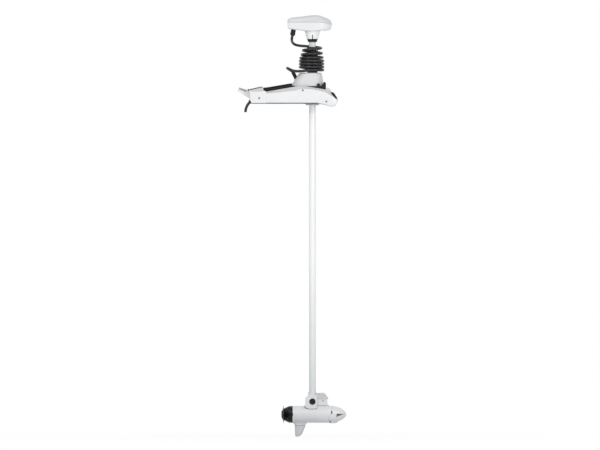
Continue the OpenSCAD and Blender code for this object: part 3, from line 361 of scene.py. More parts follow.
# The saddle strip's lip hangs over the upper edge of the shoulder: x, top of the tower, y of its upper edge
STRIP_IN_Y = 64
STRIP_SINK = 0.5
STRIP_RISE = 0.9
STRIP_LIP = 3.2
saddle_line = ((-143.3, 72.9, 86.3), (-139.3, 73.8, 87.2), (-131, 75.7, 85.8), (-125, 77, 84.3),
               (-116, 79, 84), (-88, 85.3, 84), (-77.4, 86, 84))
strip("saddle_strip", [[
    (x, STRIP_IN_Y, top - STRIP_SINK), (x, STRIP_IN_Y, top + STRIP_RISE), (x, edge + 0.3, top + STRIP_RISE),
    (x, edge + 2.7, top - STRIP_LIP), (x, edge + 0.6, top - STRIP_LIP), (x, edge - 0.8, top - STRIP_SINK)]
    for x, top, edge in saddle_line], seal_rubber_and_shade)

# Rails and front bumpers: black rubber-faced strips that the folded shaft assembly lies between.
# The rails are pressed on the top edges of the frames; a moulded bead runs along their outer sides.

rail_rubber = finish_of("rail_rubber", ((0.007, 0.007, 0.0075), (0.012, 0.012, 0.0125)),
                        patch=25, grain=1100, rough=(0.45, 0.7), relief=0.35,
                        speck=((0.02, 0.02, 0.021), 0.4), shine=0.1)
for node, name in (("starboard_rail", "rail_starboard"), ("port_rail", "rail_port"),
                   ("front_bumpers", "nose_bumpers")):
    eased_copy(node, name, 1.4, rail_rubber)

bead_rubber = finish_of("bead_rubber", ((0.024, 0.024, 0.025), (0.034, 0.034, 0.035)),
                        patch=25, grain=900, rough=(0.4, 0.55), relief=0.2, shine=0.3)
RAIL_OUT_Y = 80
bead_line = [Vector(p) for p in ((-62, 0, 70.5), (-20, 0, 77), (20, 0, 83.8), (60, 0, 90.7), (73, 0, 93))]
BEAD_R = 1.3


def along(line, i):
    return (line[min(i + 1, len(line) - 1)] - line[max(i - 1, 0)]).normalized()


def tube(name, line, radius, sides, first=Vector((0, 1, 0))):
    """A round skin along a line in millimetres; radius is one number or a list, one a ring."""
    side = first
    rings = []
    for i, p in enumerate(line):
        ahead = along(line, i)
        side = (side - side.dot(ahead) * ahead).normalized()
        over = ahead.cross(side)
        r = radius[i] if isinstance(radius, list) else radius
        rings.append([p + r * (math.cos(w) * side + math.sin(w) * over)
                      for w in (2 * math.pi * j / sides for j in range(sides))])
    obj = lofted(name, rings)
    shade(obj.data, 50)
    return obj


for side, where in SIDES:
    line = [Vector((p.x, side * RAIL_OUT_Y, p.z)) for p in curve_through(bead_line, 4)]
    fitted(tube("rail_bead_" + where, line, BEAD_R, 12), "base", finish=bead_rubber)

# Cover screws: blackened steel pan heads with a hexagon socket, three on each side of the mount.
# They go through the covers and the rear cap into tapped holes in the frames.

SCREW_PLACES = ((-94, 28), (130, 68), (251, 10))
# Radius and height of the head, and radius of its socket
COVER_SCREW = (4.8, 2.6, 2.0)


def tree_with_inputs(name, inputs):
    """A Geometry Nodes tree with one geometry input, the named inputs and one geometry output."""
    tree = bpy.data.node_groups.new(name, "GeometryNodeTree")
    tree.interface.new_socket("Places", in_out="INPUT", socket_type="NodeSocketGeometry")
    for label, kind in inputs:
        tree.interface.new_socket(label, in_out="INPUT", socket_type=kind)
    tree.interface.new_socket("Pieces", in_out="OUTPUT", socket_type="NodeSocketGeometry")
    return tree, tree.nodes.new("NodeGroupInput"), tree.nodes.new("NodeGroupOutput")


def set_on_places(tree, given, out, shape, finish):
    """Ends a tree: the shape at each place, turned the way it faces, made real and given its material."""
    way = tree.nodes.new("GeometryNodeInputNamedAttribute")
    way.data_type = "FLOAT_VECTOR"
    way.inputs["Name"].default_value = "facing"
    turn = tree.nodes.new("FunctionNodeAlignRotationToVector")
    turn.axis = "Z"
    put = tree.nodes.new("GeometryNodeInstanceOnPoints")
    real = tree.nodes.new("GeometryNodeRealizeInstances")
    paint = tree.nodes.new("GeometryNodeSetMaterial")
    join = tree.links.new
    join(given.outputs["Places"], put.inputs["Points"])
    join(shape, put.inputs["Instance"])
    join(way.outputs["Attribute"], turn.inputs["Vector"])
    join(turn.outputs["Rotation"], put.inputs["Rotation"])
    join(put.outputs["Instances"], real.inputs["Geometry"])
    join(real.outputs["Geometry"], paint.inputs["Geometry"])
    join(given.outputs[finish], paint.inputs["Material"])
    join(paint.outputs["Geometry"], out.inputs["Pieces"])
    return tree


def baked(name, points, facing, tree, values):
    """Runs the tree on a mesh of bare points and returns the result as one plain object."""
    mesh = bpy.data.meshes.new(name)
    mesh.from_pydata([Vector(p) * MM for p in points], [], [])
    attribute = mesh.attributes.new("facing", "FLOAT_VECTOR", "POINT")
    for item, way in zip(attribute.data, facing):
        item.vector = way
    obj = link(name, mesh)
    modifier = obj.modifiers.new(name, "NODES")
    modifier.node_group = tree
    for socket in tree.interface.items_tree:
        if socket.in_out == "INPUT" and socket.name in values:
            modifier[socket.identifier] = values[socket.name]
    solid = bpy.data.meshes.new_from_object(obj.evaluated_get(bpy.context.evaluated_depsgraph_get()))
    obj.modifiers.remove(modifier)
    obj.data = solid
    shade(solid, 35)
    return obj


def screw_tree():
    tree, given, out = tree_with_inputs("socket_screws", (
        ("Head Radius", "NodeSocketFloat"), ("Head Height", "NodeSocketFloat"),
        ("Socket Radius", "NodeSocketFloat"), ("Metal", "NodeSocketMaterial")))
    head = tree.nodes.new("GeometryNodeMeshCone")
    head.inputs["Vertices"].default_value = 28
    rim = tree.nodes.new("ShaderNodeMath")
    rim.operation = "MULTIPLY"
    rim.inputs[1].default_value = 0.78
    socket = tree.nodes.new("GeometryNodeMeshCylinder")
    socket.inputs["Vertices"].default_value = 6
    raise_socket = tree.nodes.new("GeometryNodeTransform")
    lift = tree.nodes.new("ShaderNodeCombineXYZ")
    cut = tree.nodes.new("GeometryNodeMeshBoolean")
    cut.operation = "DIFFERENCE"
    join = tree.links.new
    join(given.outputs["Head Radius"], head.inputs["Radius Bottom"])
    join(given.outputs["Head Radius"], rim.inputs[0])
    join(rim.outputs[0], head.inputs["Radius Top"])
    join(given.outputs["Head Height"], head.inputs["Depth"])
    join(given.outputs["Socket Radius"], socket.inputs["Radius"])
    join(given.outputs["Head Height"], socket.inputs["Depth"])
    join(given.outputs["Head Height"], lift.inputs["Z"])
    join(socket.outputs["Mesh"], raise_socket.inputs["Geometry"])
    join(lift.outputs["Vector"], raise_socket.inputs["Translation"])
    join(head.outputs["Mesh"], cut.inputs["Mesh 1"])
    join(raise_socket.outputs["Geometry"], cut.inputs["Mesh 2"])
    return set_on_places(tree, given, out, cut.outputs["Mesh"], "Metal")


screws = screw_tree()


def screw_heads(name, places, facing, size, metal):
    radius, height, socket = size
    return baked(name, places, facing, screws, {
        "Head Radius": radius * MM, "Head Height": height * MM, "Socket Radius": socket * MM, "Metal": metal})


places = [(x, side * (COVER_OUT_Y - 0.2), z) for side in (-1, 1) for x, z in SCREW_PLACES]
outwards = [(0, math.copysign(1, y), 0) for x, y, z in places]
cover_screws = screw_heads("cover_screw_heads", places, outwards, COVER_SCREW, dark_steel)
fitted(cover_screws, "base", "cover_screws")

# Power lead: a short black cable out of a gland low in the rear wall, cut where the boat's wiring joins it.
# The jacket is matt extruded rubber; the route repeats the CAD line.

POWER_D = 14
cord_jacket = finish_of("cord_jacket", ((0.009, 0.009, 0.0095), (0.015, 0.015, 0.0155)),
                        patch=40, grain=1400, rough=(0.2, 0.3), relief=0.1, shine=0.36)
power_route = [Vector((x, -38, z)) for x, z in (
    (-119.2, 24.85), (-124, 21.25), (-129.5, 17.13), (-135, 13), (-139, 10), (-143.4, 6.1), (-147.5, 1.7),
    (-151.3, -3.05), (-154.7, -8.1), (-157.6, -13.5), (-160, -19), (-161.95, -24.8), (-163.4, -30.7),
    (-164.3, -36.7), (-164.7, -44))]


power_line = curve_through(power_route, 5)
power_lead = tube("power_lead", power_line, POWER_D / 2, 24)
fitted(power_lead, "base", "power_cable", cord_jacket)

black_moulding = finish_of("black_moulding", ((0.008, 0.008, 0.0085), (0.013, 0.013, 0.014)),
                           patch=18, grain=1000, rough=(0.36, 0.52), relief=0.22,
                           speck=((0.024, 0.024, 0.026), 0.35), shine=0.22)
eased_copy("power_gland", "lead_gland", 0.6, black_moulding)

# Foot pedal: a white moulded treadle on the pedal pin, with a grey rubber tread glued on its top.
# Pressing it pushes a steel rod forward, which frees the housing to tilt.

eased_copy("pedal", "treadle", 1.0, moulded_white)
eased_copy("release_rod", "latch_rod", 0.6, stainless)

tread_rubber = finish_of("tread_rubber", ((0.30, 0.30, 0.305), (0.35, 0.35, 0.355)),
                         patch=30, grain=900, rough=(0.55, 0.75), relief=0.4)
PAD_HALF = 44
PAD_LENGTH = 40
# Height over the treadle at heel and toe: the pad's top, and the lower edge of the lips at its sides
PAD_TOP = (5.5, 2)
LIP_FOOT = (-4, -8)
LIP_Y = (45.2, 46.4)
RIB_COUNT = 7
RIB_W = 3.4
RIB_H = 1.5
# How deep the ribs sink into the pad
RIB_SINK = 0.5
RIB_FOOT = 0.6
TREAD_HEEL = Vector((-198, 0, 77))
TREAD_TOE = Vector((-155, 0, 66.5))
tread_slope = math.atan2(TREAD_HEEL.z - TREAD_TOE.z, TREAD_TOE.x - TREAD_HEEL.x)


def rib_tree():
    tree, given, out = tree_with_inputs("tread_ribs", (
        ("Rib Count", "NodeSocketInt"), ("Rib Size", "NodeSocketVector"), ("Rib Step", "NodeSocketVector"),
        ("Slope", "NodeSocketVector"), ("Rubber", "NodeSocketMaterial")))
    row = tree.nodes.new("GeometryNodeMeshLine")
    rib = tree.nodes.new("GeometryNodeMeshCube")
    put = tree.nodes.new("GeometryNodeInstanceOnPoints")
    turn = tree.nodes.new("GeometryNodeTransform")
    join = tree.links.new
    join(given.outputs["Rib Count"], row.inputs["Count"])
    join(given.outputs["Rib Step"], row.inputs["Offset"])
    join(given.outputs["Rib Size"], rib.inputs["Size"])
    join(row.outputs["Mesh"], put.inputs["Points"])
    join(rib.outputs["Mesh"], put.inputs["Instance"])
    join(put.outputs["Instances"], turn.inputs["Geometry"])
    join(given.outputs["Slope"], turn.inputs["Rotation"])
    return set_on_places(tree, given, out, turn.outputs["Geometry"], "Rubber")


down_tread = Vector((math.cos(tread_slope), 0, -math.sin(tread_slope)))
off_tread = Vector((math.sin(tread_slope), 0, math.cos(tread_slope)))
pad_slope = tread_slope + math.atan2(PAD_TOP[0] - PAD_TOP[1], PAD_LENGTH)
first_rib = TREAD_HEEL + (RIB_W / 2) * down_tread + (PAD_TOP[0] + RIB_H / 2 - RIB_SINK) * off_tread
ribs = baked("tread_ribs", [first_rib], [(0, 0, 1)], rib_tree(), {
    "Rib Count": RIB_COUNT, "Rib Size": (RIB_W * MM, 2 * PAD_HALF * MM, (RIB_H + RIB_FOOT) * MM),
    "Rib Step": ((PAD_LENGTH - RIB_W) / (RIB_COUNT - 1) * MM, 0, 0), "Slope": (0, pad_slope, 0),
    "Rubber": tread_rubber})
pad = bmesh.new()
pad.from_mesh(ribs.data)
for foot, sides in (((0, 0), (-PAD_HALF, PAD_HALF)), (LIP_FOOT, (-LIP_Y[1], -LIP_Y[0])), (LIP_FOOT, LIP_Y)):
    slab = [TREAD_HEEL + share * PAD_LENGTH * down_tread + height[share] * off_tread + Vector((0, y, 0))
            for share in (0, 1) for height in (foot, PAD_TOP) for y in sides]
    corners = [pad.verts.new(p * MM) for p in slab]
    for face in ((0, 1, 3, 2), (4, 6, 7, 5), (0, 4, 5, 1), (2, 3, 7, 6), (0, 2, 6, 4), (1, 5, 7, 3)):
        pad.faces.new([corners[i] for i in face])
bmesh.ops.recalc_face_normals(pad, faces=pad.faces)
ease_edges(pad, pad.edges[:], 0.5)
for face in pad.faces:
    face.material_index = 0
pad.to_mesh(ribs.data)
pad.free()
ribs.data.materials.clear()
shade(ribs.data, 40)
fitted(ribs, "pedal", "pedal_pad", tread_rubber)

# Pedal spring: a torsion spring of stainless wire, wound round the pedal pin.
# It holds the pedal up, with a short arm under the tread and a long leg on the rear wall.

PEDAL_PIN = Vector((-149, 0, 70))
SPRING_TURNS = 5.25
SPRING_R = 6.4
SPRING_WIRE = 1.6
SPRING_PITCH = 3
SPRING_FOOT_Z = 26
SPRING_ARM = Vector((7, 0, 0))
SPRING_STEPS = 24
turn_points = []
for i in range(int(SPRING_TURNS * SPRING_STEPS) + 1):
    w = math.radians(270 + 360 / SPRING_STEPS * i)
    y = SPRING_PITCH * (i / SPRING_STEPS - SPRING_TURNS / 2)
    turn_points.append(PEDAL_PIN + Vector((SPRING_R * math.cos(w), y, SPRING_R * math.sin(w))))
spring_line = [turn_points[0] - SPRING_ARM, *turn_points,
               Vector((turn_points[-1].x, turn_points[-1].y, SPRING_FOOT_Z))]
spring = tube("pedal_return_spring", spring_line, SPRING_WIRE / 2, 10)
fitted(spring, "base", "pedal_spring", stainless)

# Steering housing: a black moulded yoke that swings on the pivot pin and clamps the gear case's two halves.
# The case is die-cast aluminium; two plastic bushes and a bottom ring guide the sleeve.

eased_copy("tilt_yoke", "yoke", 1.2, black_moulding)
for node, name in (("case_bottom", "gear_case_lower"), ("case_top", "gear_case_upper"),
                   ("steering_motor", "steering_servo")):
    eased_copy(node, name, 0.8, cast_paint)
eased_copy("sleeve_bearings", "sleeve_bushes", 0.3, black_moulding)
pale_moulding = finish_of("pale_moulding", ((0.60, 0.61, 0.62), (0.66, 0.67, 0.68)),
                          patch=8, grain=800, rough=(0.35, 0.48), relief=0.1)
eased_copy("bottom_ring", "lower_collar", 0.8, pale_moulding)

# Shroud: a satin white hood moulded in one piece that stands on the yoke's ledges and hides the gear case.
# Its rear side leans; it has a round hole for the sleeve, one for the boot and slots for the yoke's tabs.

HOOD_Z = (90, 159)
SHAFT_X = 180
# The hood seen from above: share of its length, and width there
hood_share = (0, 0.006, 0.025, 0.08, 0.16, 0.27, 0.4, 0.6, 0.73, 0.84, 0.92, 0.975, 0.994, 1)
hood_width = (0.16, 0.29, 0.42, 0.64, 0.82, 0.93, 0.99, 1, 0.94, 0.83, 0.65, 0.43, 0.3, 0.16)


def hood_row(x0, x1, half, z):
    """One level of the hood: its rear and front ends, half its width, and its height."""
    return [Vector((x0 + (x1 - x0) * s, half * w, z)) for s, w in zip(hood_share, hood_width)]


def hood_rows(inset, sink):
    return [hood_row(68.5 + inset, 236 - inset, 61 - inset, HOOD_Z[0] - sink),
            hood_row(71.5 + inset, 236 - inset, 61.5 - inset, HOOD_Z[0] + 7),
            hood_row(82 + inset, 235 - inset, 60.6 - inset, HOOD_Z[0] + 23),
            hood_row(94 + inset, 233 - inset, 59 - inset, HOOD_Z[0] + 41),
            hood_row(108 + inset, 228 - inset, 56 - inset, HOOD_Z[1] - 7 - inset / 2),
            hood_row(111 + inset, 225 - inset, 53 - inset, HOOD_Z[1] - 2 - inset),
            hood_row(114 + inset, 221 - inset, 49 - inset, HOOD_Z[1] - inset)]


def smooth_grid(rows, up_steps, along_steps):
    """A finer grid through rows of points, smooth both up and along."""
    columns = [curve_through([row[i] for row in rows], up_steps) for i in range(len(rows[0]))]
    return [curve_through([column[j] for column in columns], along_steps) for j in range(len(columns[0]))]


def mirrored_skin(name, rows, close_low, close_high):
    """A skin through half rows with y over zero and their mirror images; each end may be closed by strips."""
    k = len(rows[0])
    n = 2 * k
    points = [p for row in rows for p in row + [Vector((q.x, -q.y, q.z)) for q in reversed(row)]]
    faces = bands(len(rows), n)
    for start, closed in ((0, close_low), ((len(rows) - 1) * n, close_high)):
        if closed:
            faces += [(start + i, start + i + 1, start + n - 2 - i, start + n - 1 - i) for i in range(k - 1)]
    return skinned(name, points, faces)


def cutter_of(shape):
    mesh = bpy.data.meshes.new("cutter")
    shape.to_mesh(mesh)
    shape.free()
    return link("cutter", mesh)


def cylinder_cutter(at, axis, radius, length):
    shape = bmesh.new()
    turn = Vector((0, 0, 1)).rotation_difference(Vector(axis)).to_matrix().to_4x4()
    bmesh.ops.create_cone(shape, cap_ends=True, segments=64, radius1=radius * MM, radius2=radius * MM,
                          depth=length * MM, matrix=Matrix.Translation(Vector(at) * MM) @ turn)
    return cutter_of(shape)


def box_cutter(low, high):
    shape = bmesh.new()
    low, high = Vector(low) * MM, Vector(high) * MM
    size = Matrix.Diagonal((*(high - low), 1))
    bmesh.ops.create_cube(shape, size=1, matrix=Matrix.Translation((low + high) / 2) @ size)
    return cutter_of(shape)


def carve(obj, cutters):
    """Cuts the cutters out of the object for good."""
    for cutter in cutters:
        cut = obj.modifiers.new("cut", "BOOLEAN")
        cut.operation = "DIFFERENCE"
        cut.solver = "EXACT"
        cut.object = cutter
    mesh = bpy.data.meshes.new_from_object(obj.evaluated_get(bpy.context.evaluated_depsgraph_get()))
    obj.modifiers.clear()
    obj.data = mesh
    for cutter in cutters:
        bpy.data.objects.remove(cutter)


GLAND_AT = Vector((94, 0, 134))
BOOT_LEAN = math.radians(27.6)
boot_axis = Vector((-math.sin(BOOT_LEAN), 0, math.cos(BOOT_LEAN)))
HOOD_WALL = 3
SLEEVE_HOLE_R = 29
BOOT_HOLE_R = 10.3
TAB_X = (203.5, 219.5)
TAB_Y = (54.5, -74.5)
TAB_Z = (80, 105)
TAB_DEEP = 20
hood = mirrored_skin("shroud_hood", smooth_grid(hood_rows(0, 0), 4, 4), True, True)
carve(hood, [mirrored_skin("cutter", smooth_grid(hood_rows(HOOD_WALL, 1), 3, 3), True, True),
             cylinder_cutter((SHAFT_X, 0, 160), (0, 0, 1), SLEEVE_HOLE_R, 80),
             cylinder_cutter(GLAND_AT, boot_axis, BOOT_HOLE_R, 50),
             *(box_cutter((TAB_X[0], y, TAB_Z[0]), (TAB_X[1], y + TAB_DEEP, TAB_Z[1])) for y in TAB_Y)])
hood_white = finish_of("hood_white", ((0.66, 0.665, 0.68), (0.70, 0.705, 0.72)),
                       patch=7, grain=900, rough=(0.42, 0.52), relief=0.06, shine=0.35)
shade(hood.data, 32)
fitted(hood, "steering_housing", "shroud", hood_white)

# Cable boot: a moulded rubber elbow plugged into the shroud, where the coiled cable goes down to the servo.
# It leans back, and the ribs let it bend further towards the slack loop.

BOOT_R = 10
GROOVE_R = 8.6
GLAND_MOUTH = Vector((76.5, 0, 166))
GLAND_LEAN = math.radians(57)
gland_axis = Vector((-math.sin(GLAND_LEAN), 0, math.cos(GLAND_LEAN)))
boot_line = curve_through([GLAND_AT + along_boot * boot_axis for along_boot in (-14, -3, 8, 17, 25)]
                          + [GLAND_MOUTH - 3.5 * gland_axis, GLAND_MOUTH], 14)
PLAIN_RINGS = 20
RINGS_PER_RIB = 8
boot_radius = []
for i in range(len(boot_line)):
    wave = 0.5 + 0.5 * math.cos(2 * math.pi * (i - PLAIN_RINGS) / RINGS_PER_RIB)
    boot_radius.append(BOOT_R if i < PLAIN_RINGS else GROOVE_R + (BOOT_R - GROOVE_R) * wave ** 0.6)
boot = tube("cable_boot", boot_line, boot_radius, 32)
# Black rubber for the boot and the shaft seal, also used as painted shade in the nose's screw slots
soft_rubber_and_shade = finish_of("soft_rubber_and_shade", ((0.010, 0.010, 0.0105), (0.016, 0.016, 0.017)),
                        patch=30, grain=1300, rough=(0.5, 0.68), relief=0.3, shine=0.3)
fitted(boot, "steering_housing", "cord_gland", soft_rubber_and_shade)

# Steering gears and sleeve: a hobbed steel ring gear on a black nylon sleeve, turned by the servo's pinion.
# The sleeve carries the key that turns the shaft and still lets it slide.


def coat_node(node, finish):
    nodes[node].data.materials.clear()
    nodes[node].data.materials.append(finish)


gear_steel = finish_of("gear_steel", ((0.42, 0.43, 0.445), (0.52, 0.53, 0.545)),
                       patch=60, grain=500, rough=(0.28, 0.42), relief=0.15, metal=1.0,
                       stretch=(1, 1, 0.3))
for node in ("ring_gear", "servo_pinion"):
    coat_node(node, gear_steel)
eased_copy("drive_sleeve", "steering_tube", 0.5, black_moulding)

# Shaft: a pultruded composite tube with a white gel coat, keyed along its front side.
# Faint lengthwise streaks of the fibres show under the coat.

pultruded = finish_of("pultruded", ((0.86, 0.875, 0.875), (0.90, 0.915, 0.915)),
                      patch=60, grain=350, rough=(0.22, 0.34), relief=0.06, stretch=(1, 1, 0.02), coat=0.2)
# The coat is painted darker towards the foot, and darker again from the coil's top up, as painted shade under
# the nut and the coil
tree = pultruded.node_tree
shader = next(node for node in tree.nodes if node.type == "BSDF_PRINCIPLED")
place = tree.nodes.new("ShaderNodeTexCoord")
split = tree.nodes.new("ShaderNodeSeparateXYZ")
depth = tree.nodes.new("ShaderNodeMapRange")
DARKENING_Z = (-1550, 400)
depth.inputs["From Min"].default_value = DARKENING_Z[0] * MM
depth.inputs["From Max"].default_value = DARKENING_Z[1] * MM
darkening = tree.nodes.new("ShaderNodeValToRGB")
stops = darkening.color_ramp.elements
for place_at, share in ((0.385, 0), (0.935, 0), (0.945, 0.9)):
    stop = stops.new(place_at)
    stop.color = (share, share, share, 1)
stops[0].color = (1, 1, 1, 1)
stops[-1].color = (0.9, 0.9, 0.9, 1)
darkened = tree.nodes.new("ShaderNodeMix")
darkened.data_type = "RGBA"
darkened.inputs["B"].default_value = (0.655, 0.68, 0.675, 1)
tree.links.new(place.outputs["Object"], split.inputs["Vector"])
tree.links.new(split.outputs["Z"], depth.inputs["Value"])
tree.links.new(depth.outputs["Result"], darkening.inputs["Fac"])
tree.links.new(darkening.outputs["Color"], darkened.inputs["Factor"])
tree.links.new(shader.inputs["Base Color"].links[0].from_socket, darkened.inputs["A"])
tree.links.new(darkened.outputs["Result"], shader.inputs["Base Color"])
eased_copy("shaft_tube", "composite_shaft", 0.3, pultruded)

# Depth collar, collet and nut: the split collar sets the running depth, the collet grips the shaft's top.
# Collar and nut are black glass-filled nylon, the collet is white with four slits.

eased_copy("depth_collar", "stop_collar", 1.0, black_moulding)
neck_white = finish_of("neck_white", ((0.84, 0.85, 0.86), (0.88, 0.89, 0.90)),
                       patch=7, grain=900, rough=(0.26, 0.36), relief=0.05, coat=0.15)
neck = eased_copy("collet", "head_neck", 0.6, neck_white)
# The neck flares a little more than the plain cone of the solid
NECK_BORE = 21
NECK_Z = (331, 373)
# Share of its radius that the neck gains at once, and from its foot to its top
NECK_FLARE = (0.06, 0.08)
for vert in neck.data.vertices:
    out = vert.co - Vector((SHAFT_X * MM, 0, vert.co.z))
    rise = (vert.co.z / MM - NECK_Z[0]) / (NECK_Z[1] - NECK_Z[0])
    if out.length > NECK_BORE * MM and rise > 0:
        vert.co += (NECK_FLARE[0] + NECK_FLARE[1] * min(1, rise)) * out
eased_copy("collet_nut", "neck_nut", 0.4, black_moulding)


def turned_ring(name, profile, sides):
    """A ring turned about the shaft's axis from a closed profile of (radius, height) points."""
    n = len(profile)
    points = [Vector((SHAFT_X + r * math.cos(w), r * math.sin(w), z))
              for w in (2 * math.pi * j / sides for j in range(sides)) for r, z in profile]
    faces = [(j * n + i, j * n + (i + 1) % n, (j + 1) % sides * n + (i + 1) % n, (j + 1) % sides * n + i)
             for j in range(sides) for i in range(n)]
    return skinned(name, points, faces)


# A dark ring between collet and shaft is painted shade in the slits
SLIT_SHADE_R = (17.7, 23)
SLIT_SHADE_Z = (333.5, 354.8)
slit_shade = turned_ring("neck_slit_shade", ((SLIT_SHADE_R[0], SLIT_SHADE_Z[0]), (SLIT_SHADE_R[1], SLIT_SHADE_Z[0]),
                                   (SLIT_SHADE_R[1], SLIT_SHADE_Z[1]), (SLIT_SHADE_R[0], SLIT_SHADE_Z[1])), 64)
shade(slit_shade.data, 40)
fitted(slit_shade, "shaft", finish=seal_rubber_and_shade)

# Control head: a white moulded bowl and a pale lid, painted greyer as shade on its upward faces, with a
# rubber gasket between them.
# Four screws from below hold the lid; the circuit board and the antenna stand on bosses inside.

HEAD_HALF = 53
HEAD_WALL = 3.5
# The head seen from above: share of its length, and width there
head_share = (0, 0.002, 0.006, 0.015, 0.05, 0.12, 0.22, 0.34, 0.48, 0.62, 0.73, 0.78, 0.84, 0.9, 0.95,
              0.985, 0.996, 1)
head_width = (0.48, 0.55, 0.595, 0.63, 0.68, 0.74, 0.81, 0.88, 0.95, 0.99, 1, 0.95, 0.85, 0.72, 0.57,
              0.4, 0.29, 0.16)
# Seen from the side, x and z: the seam under the lid, the lid's crown and the bowl's floor
SEAM = ((50, 417), (142, 417.5), (190, 418.5), (221, 418.3), (237, 416), (252, 413.2), (273, 408.3),
        (281, 406))
CROWN = ((50, 438.5), (82, 444.3), (95, 446), (116, 447.2), (142, 451.3), (167, 454.2), (193, 456.4),
         (206, 455.4), (219, 454), (229, 449.6), (250, 441), (265, 436), (274, 428.5), (280, 417.5))
FLOOR = ((50, 384.5), (82, 381.8), (121, 378), (148, 373), (206, 373), (226, 377), (265, 378), (281, 384))
# How full the rounding of the lid's shoulder is, at x
SHOULDER = ((50, 0.5), (100, 1), (240, 1), (280, 0.15))


def height_on(profile, x):
    """Height of a side profile at x, straight between its points and level past its ends."""
    if x <= profile[0][0]:
        return profile[0][1]
    for (xa, za), (xb, zb) in zip(profile, profile[1:]):
        if x <= xb:
            return za + (zb - za) * (x - xa) / (xb - xa)
    return profile[-1][1]


def head_row(x0, x1, half, height):
    """One level of the head: its rear and front ends, half its width, and a rule for its height at x."""
    row = []
    for s, w in zip(head_share, head_width):
        x = x0 + (x1 - x0) * s
        row.append(Vector((x, half * w, height(x))))
    return row


def over(profile, rise):
    return lambda x: height_on(profile, x) + rise


def under_crown(drop):
    return lambda x: height_on(CROWN, x) - drop * height_on(SHOULDER, x)


bowl_rows = [head_row(62, 267, HEAD_HALF - 9, over(FLOOR, 0)),
             head_row(57, 272.5, HEAD_HALF - 4, over(FLOOR, 2.2)),
             head_row(54.5, 276, HEAD_HALF - 2, over(FLOOR, 7)),
             head_row(51, 280, HEAD_HALF, over(SEAM, 0))]
gasket_rows = [head_row(51.2, 279.8, HEAD_HALF - 0.25, over(SEAM, rise)) for rise in (-0.2, 1.7)]
lid_rows = [head_row(51, 280, HEAD_HALF, over(SEAM, 1.5)),
            head_row(51.5, 279.5, HEAD_HALF - 0.5, over(SEAM, 7)),
            head_row(53, 275, HEAD_HALF - 4, under_crown(11)),
            head_row(58, 268, HEAD_HALF - 14, under_crown(4)),
            head_row(67, 258, HEAD_HALF - 32, under_crown(0))]


def head_shell(obj, wall, node, finish):
    """Gives an open skin of the head its wall, inwards, and fits it on the shaft."""
    thick = obj.modifiers.new("wall", "SOLIDIFY")
    thick.thickness = wall * MM
    thick.offset = -1
    thick.use_even_offset = True
    shade(obj.data, 40)
    fitted(obj, "shaft", node, finish)


bowl = mirrored_skin("head_bowl", smooth_grid(bowl_rows, 5, 4), True, False)
head_shell(bowl, HEAD_WALL, "head_base", moulded_white)

# The lid's grey is painted shade on its upward faces
lid_shaded_white = finish_of("lid_shaded_white", ((0.60, 0.61, 0.62), (0.64, 0.65, 0.66)),
                      patch=7, grain=900, rough=(0.34, 0.46), relief=0.06)
lid = mirrored_skin("head_lid", smooth_grid(lid_rows, 5, 4), False, True)
head_shell(lid, HEAD_WALL, "head_cover", lid_shaded_white)

GASKET_WALL = 5
lid_seal = finish_of("lid_seal", ((0.46, 0.465, 0.47), (0.51, 0.515, 0.52)),
                     patch=30, grain=1300, rough=(0.5, 0.65), relief=0.2)
gasket = mirrored_skin("lid_gasket", smooth_grid(gasket_rows, 1, 4), False, False)
head_shell(gasket, GASKET_WALL, "head_gasket", lid_seal)

HEAD_SCREW = (3.6, 2.6, 1.8)
HEAD_SCREWS = ((86, 22), (86, -22), (244, 22), (244, -22))
head_places = [(x, y, height_on(FLOOR, x) + 0.4) for x, y in HEAD_SCREWS]
downwards = [(0, 0, -1)] * len(HEAD_SCREWS)
head_screws = screw_heads("head_screw_heads", head_places, downwards, HEAD_SCREW, stainless)
fitted(head_screws, "shaft", "head_screws")

solder_mask = finish_of("solder_mask", ((0.03, 0.16, 0.09), (0.045, 0.21, 0.12)),
                        patch=90, grain=1200, rough=(0.3, 0.45), relief=0.2, speck=((0.5, 0.42, 0.2), 0.6))
coat_node("control_board", solder_mask)
ceramic = finish_of("ceramic", ((0.58, 0.56, 0.52), (0.65, 0.63, 0.59)),
                    patch=50, grain=1500, rough=(0.5, 0.65), relief=0.15)
coat_node("gps_antenna", ceramic)

# Coiled cable: a rubber-jacketed cable from the plug under the head, moulded into six and a half turns round
# the depth collar, then a slack loop into the boot. The upper turns stretch as the shaft is raised, and the
# lower ones wind up as it steers.

eased_copy("coil_plug", "cable_plug", 0.5, black_moulding)
PLUG_TOP = Vector((83, 0, 383))
PLUG_LEAN = math.radians(11)
PLUG_LENGTH = 33.1
CORD_D = 14
COIL_TOP_Z = 294
COIL_R = (43, 59.5)
COIL_SHIFT = -4.7
COIL_PITCH = (29, 15.8)
# Turns over which the pitch closes up, and over which the coil widens
COIL_SETTLE = 2.8
COIL_WIDEN = 3.2
COIL_LEAN = 3.4
COIL_TURNS = 6.5
LOOP_STEPS = 40
SPLIT_TURN = 5
plug_axis = Vector((-math.sin(PLUG_LEAN), 0, -math.cos(PLUG_LEAN)))
plug_foot = PLUG_TOP + PLUG_LENGTH * plug_axis


def coil_point(t):
    w = math.radians(90 - 360 * t)
    spread = min(1, t / COIL_WIDEN)
    r = COIL_R[0] + (COIL_R[1] - COIL_R[0]) * spread
    u = min(t, COIL_SETTLE)
    drop = (COIL_PITCH[0] * u - (COIL_PITCH[0] - COIL_PITCH[1]) * u * u / (2 * COIL_SETTLE)
            + COIL_PITCH[1] * (t - u))
    return Vector((SHAFT_X + COIL_SHIFT * spread + r * math.cos(w), r * math.sin(w),
                   COIL_TOP_Z - drop - COIL_LEAN * spread * math.cos(w)))


